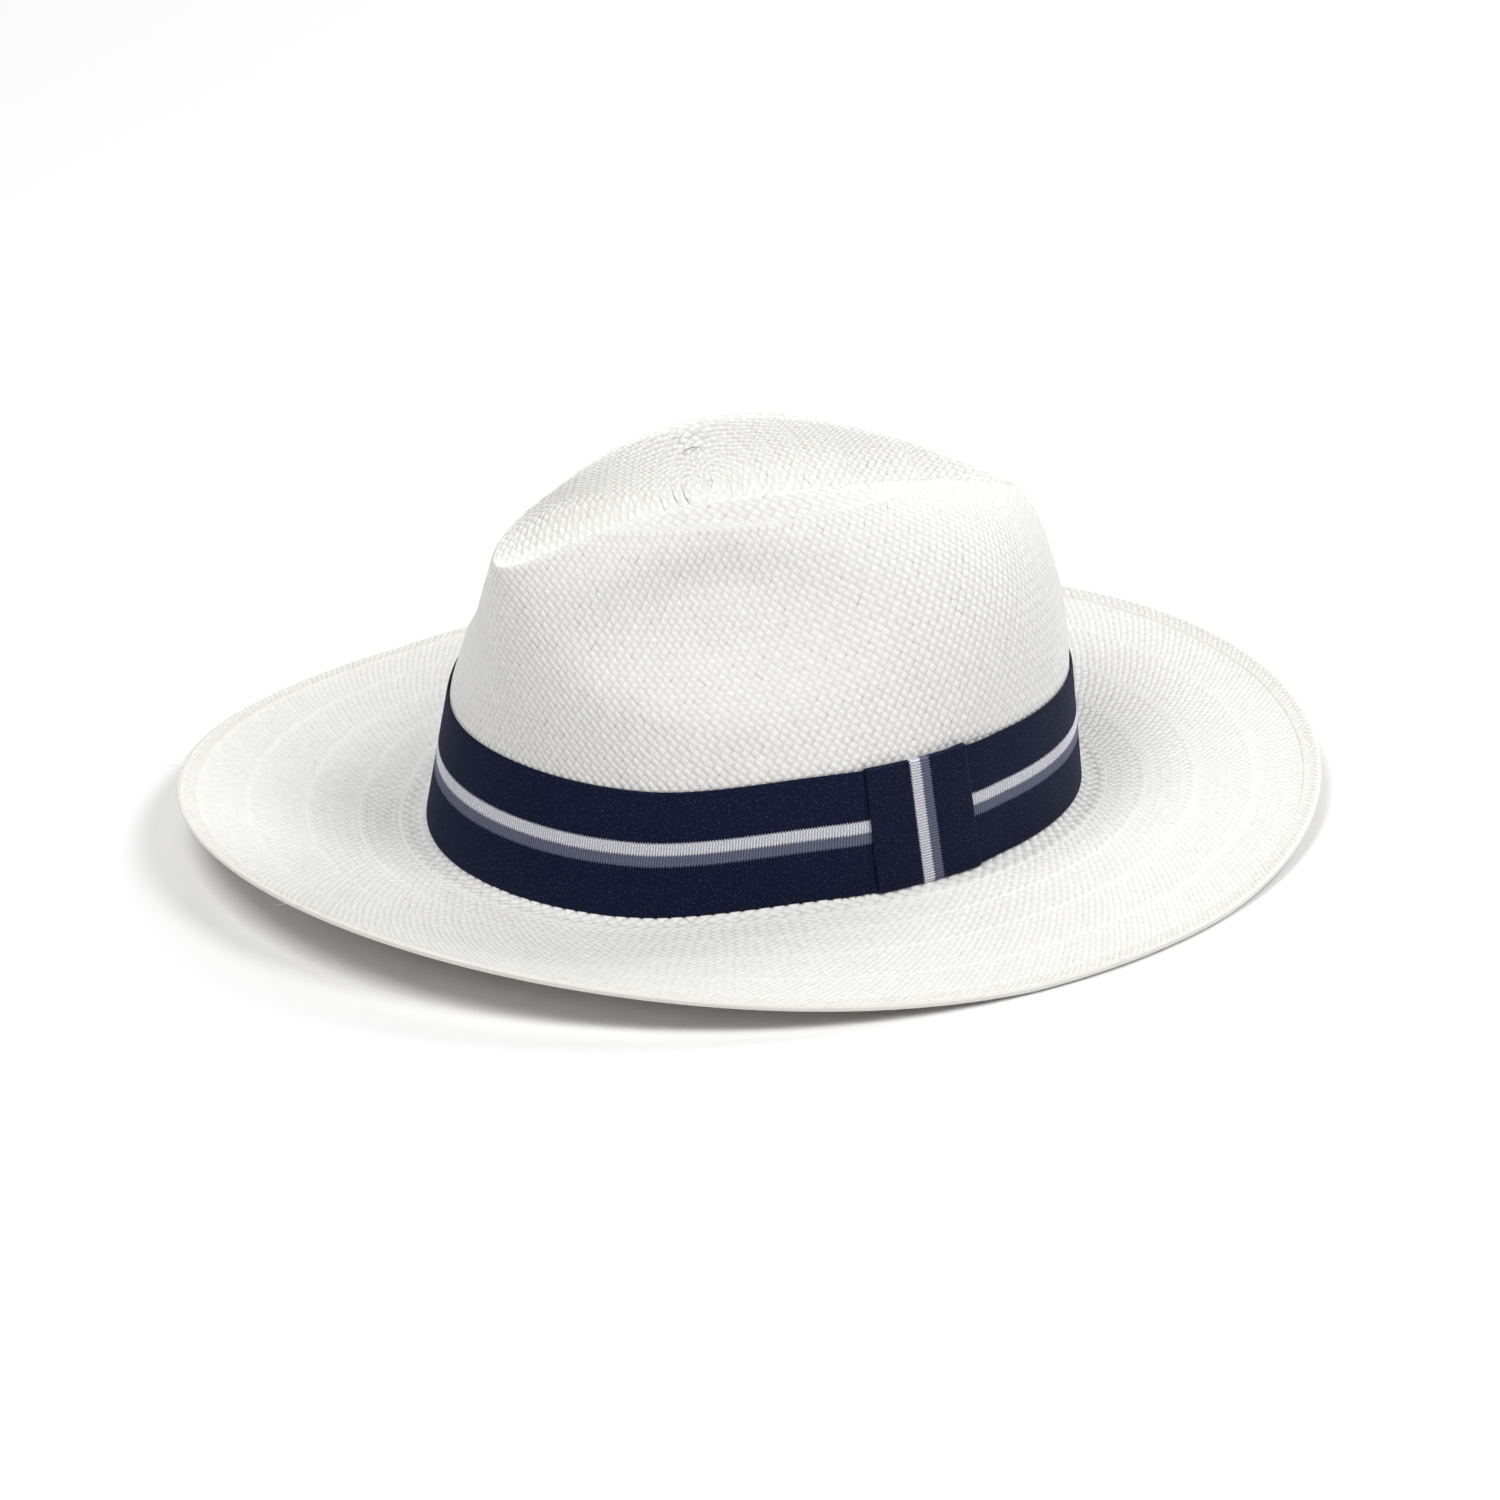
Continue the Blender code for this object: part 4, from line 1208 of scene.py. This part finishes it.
@dataclass
class Sweatband:
    """The leather band inside the head opening, with what is sewn to it."""

    block: HatBlock
    leather: bpy.types.Material
    cotton: bpy.types.Material
    thread: bpy.types.Material
    off: float = -1.9 * MM
    thickness: float = 0.9 * MM
    low: float = 1.9 * MM
    high: float = 36.0 * MM
    piping_radius: float = 0.9 * MM
    stitch_level: float = 4.5 * MM
    stitches: int = 168
    thread_radius: float = 0.24 * MM
    around: int = 240

    def profile(
        self, turn: Array, off: float, thick: Array, low: Array, high: Array, rounds: int = 5
    ) -> Array:
        """Profile rows of a strip with rounded long edges, its outer face standing at off."""
        rows, still = [], 0.0 * turn
        for start, end, level, way in ((-90.0, 90.0, high, 1.0), (90.0, -90.0, low, -1.0)):
            for angle in np.radians(np.linspace(start, end, rounds)):
                depth = off - thick / 2.0 + np.sin(angle) * thick / 2.0
                height = level - way * (1.0 - np.cos(angle)) * thick / 2.0
                rows.append(self.block.wall(turn, depth + still, height + still))
        return np.array(rows)

    def strip(
        self, name: str, turn: Array, off: float, sizes: tuple, nodes: list[str], rounds: int = 5
    ) -> bpy.types.Object:
        """Makes a strip of cotton on the leather's inner face.

        Args:
            name: the piece's name.
            turn: its stations around the hat.
            off: where its outer face stands.
            sizes: its thickness, lower level and upper level, each a number or one per station.
            nodes: the frame's pieces that it is shown instead of.
            rounds: points on each rounded edge.

        Returns:
            The piece.
        """
        piece = solid(name, self.profile(turn, off, *sizes, rounds))
        return painted(piece, self.cotton, "cotton", *nodes)

    def back(self, width: float, columns: int) -> Array:
        """Turns centred on the back that span a width."""
        return np.pi + np.linspace(-1.0, 1.0, columns) * width / 2.0 / self.block.half_width

    def band(self) -> bpy.types.Object:
        """The leather itself, its upper edge lying a little in waves."""
        turn = np.linspace(0.0, FULL_TURN, self.around, endpoint=False)
        high = self.high + 0.25 * MM * np.sin(7.0 * turn)
        rows = self.profile(turn, self.off, self.thickness, self.low, high)
        piece = solid("leather_sweatband", rows, closed=True)
        painted(piece, self.leather, "leather", "sweatband")
        middle = self.block.wall(turn, self.off - self.thickness / 2 + 0.0 * turn, 19.0 * MM)
        return piece

    def piping(self) -> bpy.types.Object:
        """A covered cord under the sweatband's lower edge."""
        turn = np.linspace(0.0, FULL_TURN, self.around, endpoint=False)
        level = self.low - 0.3 * MM - self.piping_radius
        rows = []
        for a in np.linspace(0.0, FULL_TURN, 10, endpoint=False):
            off = self.off - self.piping_radius + self.piping_radius * np.cos(a) + 0.0 * turn
            rows.append(self.block.wall(turn, off, level + self.piping_radius * np.sin(a) + 0.0 * turn))
        piece = solid("piping", np.array(rows), closed=True)
        return painted(piece, self.leather, "leather", "sweatband_piping")

    def stitching(self) -> bpy.types.Object:
        """Running stitches, each a short rounded length of thread that dips into the leather."""
        place = np.linspace(-1.0, 1.0, 7)[:, None]
        corner = np.linspace(0.0, FULL_TURN, 6, endpoint=False)
        number = np.arange(self.stitches)[:, None, None]
        turn = (number + 0.5 + 0.32 * place) / self.stitches * FULL_TURN + 0.0 * corner
        sink = np.abs(place) ** 3 * 0.34 * MM - 0.12 * MM
        off = self.off - self.thickness + sink + self.thread_radius * np.cos(corner) + 0.0 * turn
        level = self.stitch_level + self.thread_radius * np.sin(corner) + 0.0 * turn
        piece = rods("stitching", self.block.wall(turn, off, level))
        return painted(piece, self.thread, "cotton", "sweatband_thread")

    def tape_and_bow(self) -> list[bpy.types.Object]:
        """The cover tape over the leather's join, and the flat bow on its foot."""
        off = self.off - self.thickness - 0.3 * MM
        width, above, below = 14.0 * MM, 2.0 * MM, 6.0 * MM
        turn = self.back(width, 25)
        sizes = (0.4 * MM, self.low + below, self.high - above)
        tape = self.strip("tape", turn, off, sizes, ["sweatband_tape"])
        middle, away = self.low + 13.0 * MM, np.abs(np.linspace(-1.0, 1.0, 61))
        half = (2.0 + 3.8 * smooth_step(0.08, 0.62, away) - 0.9 * smooth_step(0.8, 1.0, away)) * MM
        thick = (1.0 + 0.7 * smooth_step(0.1, 0.4, away) - 1.1 * smooth_step(0.6, 1.0, away)) * MM
        sizes, turn = (thick, middle - half, middle + half), self.back(30.0 * MM, 61)
        bow = self.strip("bow", turn, off - 0.7 * MM, sizes, ["sweatband_bow"], 9)
        swell = np.sqrt(1.0 - np.linspace(-0.97, 0.97, 13) ** 2)
        half = (1.4 + 1.7 * swell) * MM
        sizes = ((0.4 + 1.9 * swell) * MM, middle - half, middle + half)
        knot = self.strip("bow_knot", self.back(4.6 * MM, 13), off - 0.8 * MM, sizes, [], 9)
        return [tape, bow, knot]

    def tab(self) -> bpy.types.Object:
        """A small blank tab that hangs from the sweatband's top edge."""
        half = 6.0 * MM / self.block.half_length
        turn = np.radians(150.0) + np.linspace(-half, half, 13)
        sizes = (0.5 * MM, self.high - 11.0 * MM, self.high - 0.5 * MM)
        return self.strip(
            "blank_tab", turn, self.off - self.thickness - 0.3 * MM, sizes, ["size_tab"]
        )

    def build(self) -> list[bpy.types.Object]:
        """Makes everything on the sweatband."""
        pieces = [self.band(), self.piping(), self.stitching(), *self.tape_and_bow()]
        return [*pieces, self.tab()]


@dataclass
class LooseStraws:
    """The few fine straw ends that have sprung out of the weave."""

    block: HatBlock
    material: bpy.types.Material
    radius: float = 0.11 * MM
    stations: int = 12

    def strand(self, degrees: float, share: float, reach: float, slide: float, rise: float) -> Array:
        """Rings of points around one straw end.

        Args:
            degrees: where it leaves the brim, from the front.
            share: how far out it leaves the brim, 1 being the rim.
            reach: how far out it goes, in millimetres.
            slide: how far it goes along the rim, in millimetres.
            rise: how high it arches, in millimetres.

        Returns:
            Station by corner by xyz.
        """
        turn = np.array([np.radians(degrees)])
        root, out = self.block.brim_top(turn, np.array([share]))[0], self.block.outward(turn)[0]
        along = np.array([-out[1], out[0], 0.0])
        t = np.linspace(0.0, 1.0, self.stations)[:, None]
        line = root + (out * reach * t**1.4 + along * slide * t) * MM
        line[:, 2] += 0.9 * rise * np.sin(t[:, 0] * 2.6) * MM
        tangent = unit(np.gradient(line, axis=0))
        side = unit(np.cross(tangent, np.array([0.0, 0.0, 1.0])))
        above = np.cross(side, tangent)
        corner = np.linspace(0.0, FULL_TURN, 5, endpoint=False)[:, None]
        ring = side[:, None] * np.cos(corner) + above[:, None] * np.sin(corner)
        return line[:, None] + ring * (self.radius * (1.0 - 0.6 * t))[:, None]

    def build(self) -> list[bpy.types.Object]:
        """Makes one piece of all of them."""
        ends = [
            (-36.0, 0.985, 7.0, 5.0, 2.0),
            (6.0, 0.99, 6.0, -5.0, 1.0),
            (61.0, 0.99, 5.0, 6.0, 2.5),
            (95.0, 0.99, 4.0, -6.0, 2.0),
            (171.0, 0.99, 5.0, 5.0, 2.0),
            (-108.0, 0.985, 6.0, 4.0, 2.0),
        ]
        piece = rods("loose_straws", np.array([self.strand(*end) for end in ends]))
        return [painted(piece, self.material, "straw")]


@dataclass
class Studio:
    """White table top, soft lights and the camera."""

    floor_size: float = 14.0
    target: tuple[float, float, float] = (0.0, 0.0, 0.040)
    azimuth: float = 52.8
    elevation: float = 22.7
    distance: float = 2.77
    lens: float = 223.7
    shift: float = -0.0471
    floor_colour: tuple[float, float, float] = (0.97, 0.97, 0.97)
    sky: float = 0.06

    def place(self, azimuth: float, elevation: float, distance: float) -> Vector:
        """A point seen from the target in a direction."""
        turn, rise = np.radians(azimuth), np.radians(elevation)
        way = Vector((np.sin(turn) * np.cos(rise), -np.cos(turn) * np.cos(rise), np.sin(rise)))
        return Vector(self.target) + way * distance

    def towards(self, place: Vector) -> Euler:
        """How something at a place is turned to look at the target."""
        return (place - Vector(self.target)).to_track_quat("Z", "Y").to_euler()

    def floor(self) -> None:
        """A plain white floor."""
        bpy.ops.object.select_all(action="DESELECT")
        bpy.ops.mesh.primitive_plane_add(size=self.floor_size, location=(0.0, 0.0, 0.0))
        floor = bpy.context.active_object
        floor.name = "floor"
        sketch = NodeSketch("Floor")
        sketch.colour(self.floor_colour)
        sketch.surface(Roughness=0.9, Specular_IOR_Level=0.1)
        floor.data.materials.append(sketch.material)

    def light(
        self, name: str, azimuth: float, elevation: float, distance: float, size: float, power: float
    ) -> None:
        """Adds a square soft light that looks at the hat.

        Args:
            name: its name.
            azimuth: degrees around the hat from the front towards the wearer's left.
            elevation: degrees above the table.
            distance: metres from the target.
            size: side of the square in metres.
            power: watts.
        """
        bpy.ops.object.select_all(action="DESELECT")
        bpy.ops.object.light_add(type="AREA", location=self.place(azimuth, elevation, distance))
        lamp = bpy.context.active_object
        lamp.name = name
        lamp.data.size = size
        lamp.data.energy = power
        lamp.rotation_euler = self.towards(lamp.location)

    def camera(self) -> None:
        """A long lens from the front left of the wearer."""
        place = self.place(self.azimuth, self.elevation, self.distance)
        bpy.ops.object.select_all(action="DESELECT")
        bpy.ops.object.camera_add(location=place)
        camera = bpy.context.active_object
        camera.rotation_euler = self.towards(place)
        camera.data.lens = self.lens
        camera.data.sensor_width = 36.0
        camera.data.shift_y = self.shift
        camera.data.clip_start = 0.05
        bpy.context.scene.camera = camera

    def build(self) -> None:
        """Sets everything up."""
        self.floor()
        lamps = [
            ("right", 108.0, 48.0, 2.2, 0.9, 20.5),
            ("front", 0.0, 62.0, 2.4, 1.2, 35.0),
            ("behind right", 190.0, 30.0, 2.4, 1.2, 22.5),
            ("behind", 232.0, 42.0, 2.4, 1.2, 10.0),
        ]
        for lamp in lamps:
            self.light(*lamp)
        world = bpy.data.worlds.new("Studio")
        world.use_nodes = True
        bpy.context.scene.world = world
        background = next(n for n in world.node_tree.nodes if n.type == "BACKGROUND")
        background.inputs["Color"].default_value = (1.0, 1.0, 1.0, 1.0)
        background.inputs["Strength"].default_value = self.sky
        self.camera()
        bpy.context.scene.view_settings.view_transform = "Standard"


def main() -> None:
    """Builds the hat and its setting."""
    logging.basicConfig(level=logging.INFO, format="%(name)s: %(message)s")
    block = HatBlock()
    straw = WHITE_STRAW.material()
    leather, cotton, thread = LEATHER.material(), COTTON.material(), STITCH.material()
    pieces = Crown(block, straw).build()
    pieces += Brim(block, straw, EDGE_STRAW.material()).build()
    pieces += RibbonTrim(block, BAND_RIBBON.material(), KEEPER_RIBBON.material()).build()
    pieces += Sweatband(block, leather, cotton, thread).build()
    pieces += LooseStraws(block, straw).build()
    for piece in pieces:
        log.info("%s: %d faces.", piece.name, len(piece.data.polygons))
    Studio().build()


if __name__ == "__main__":
    main()
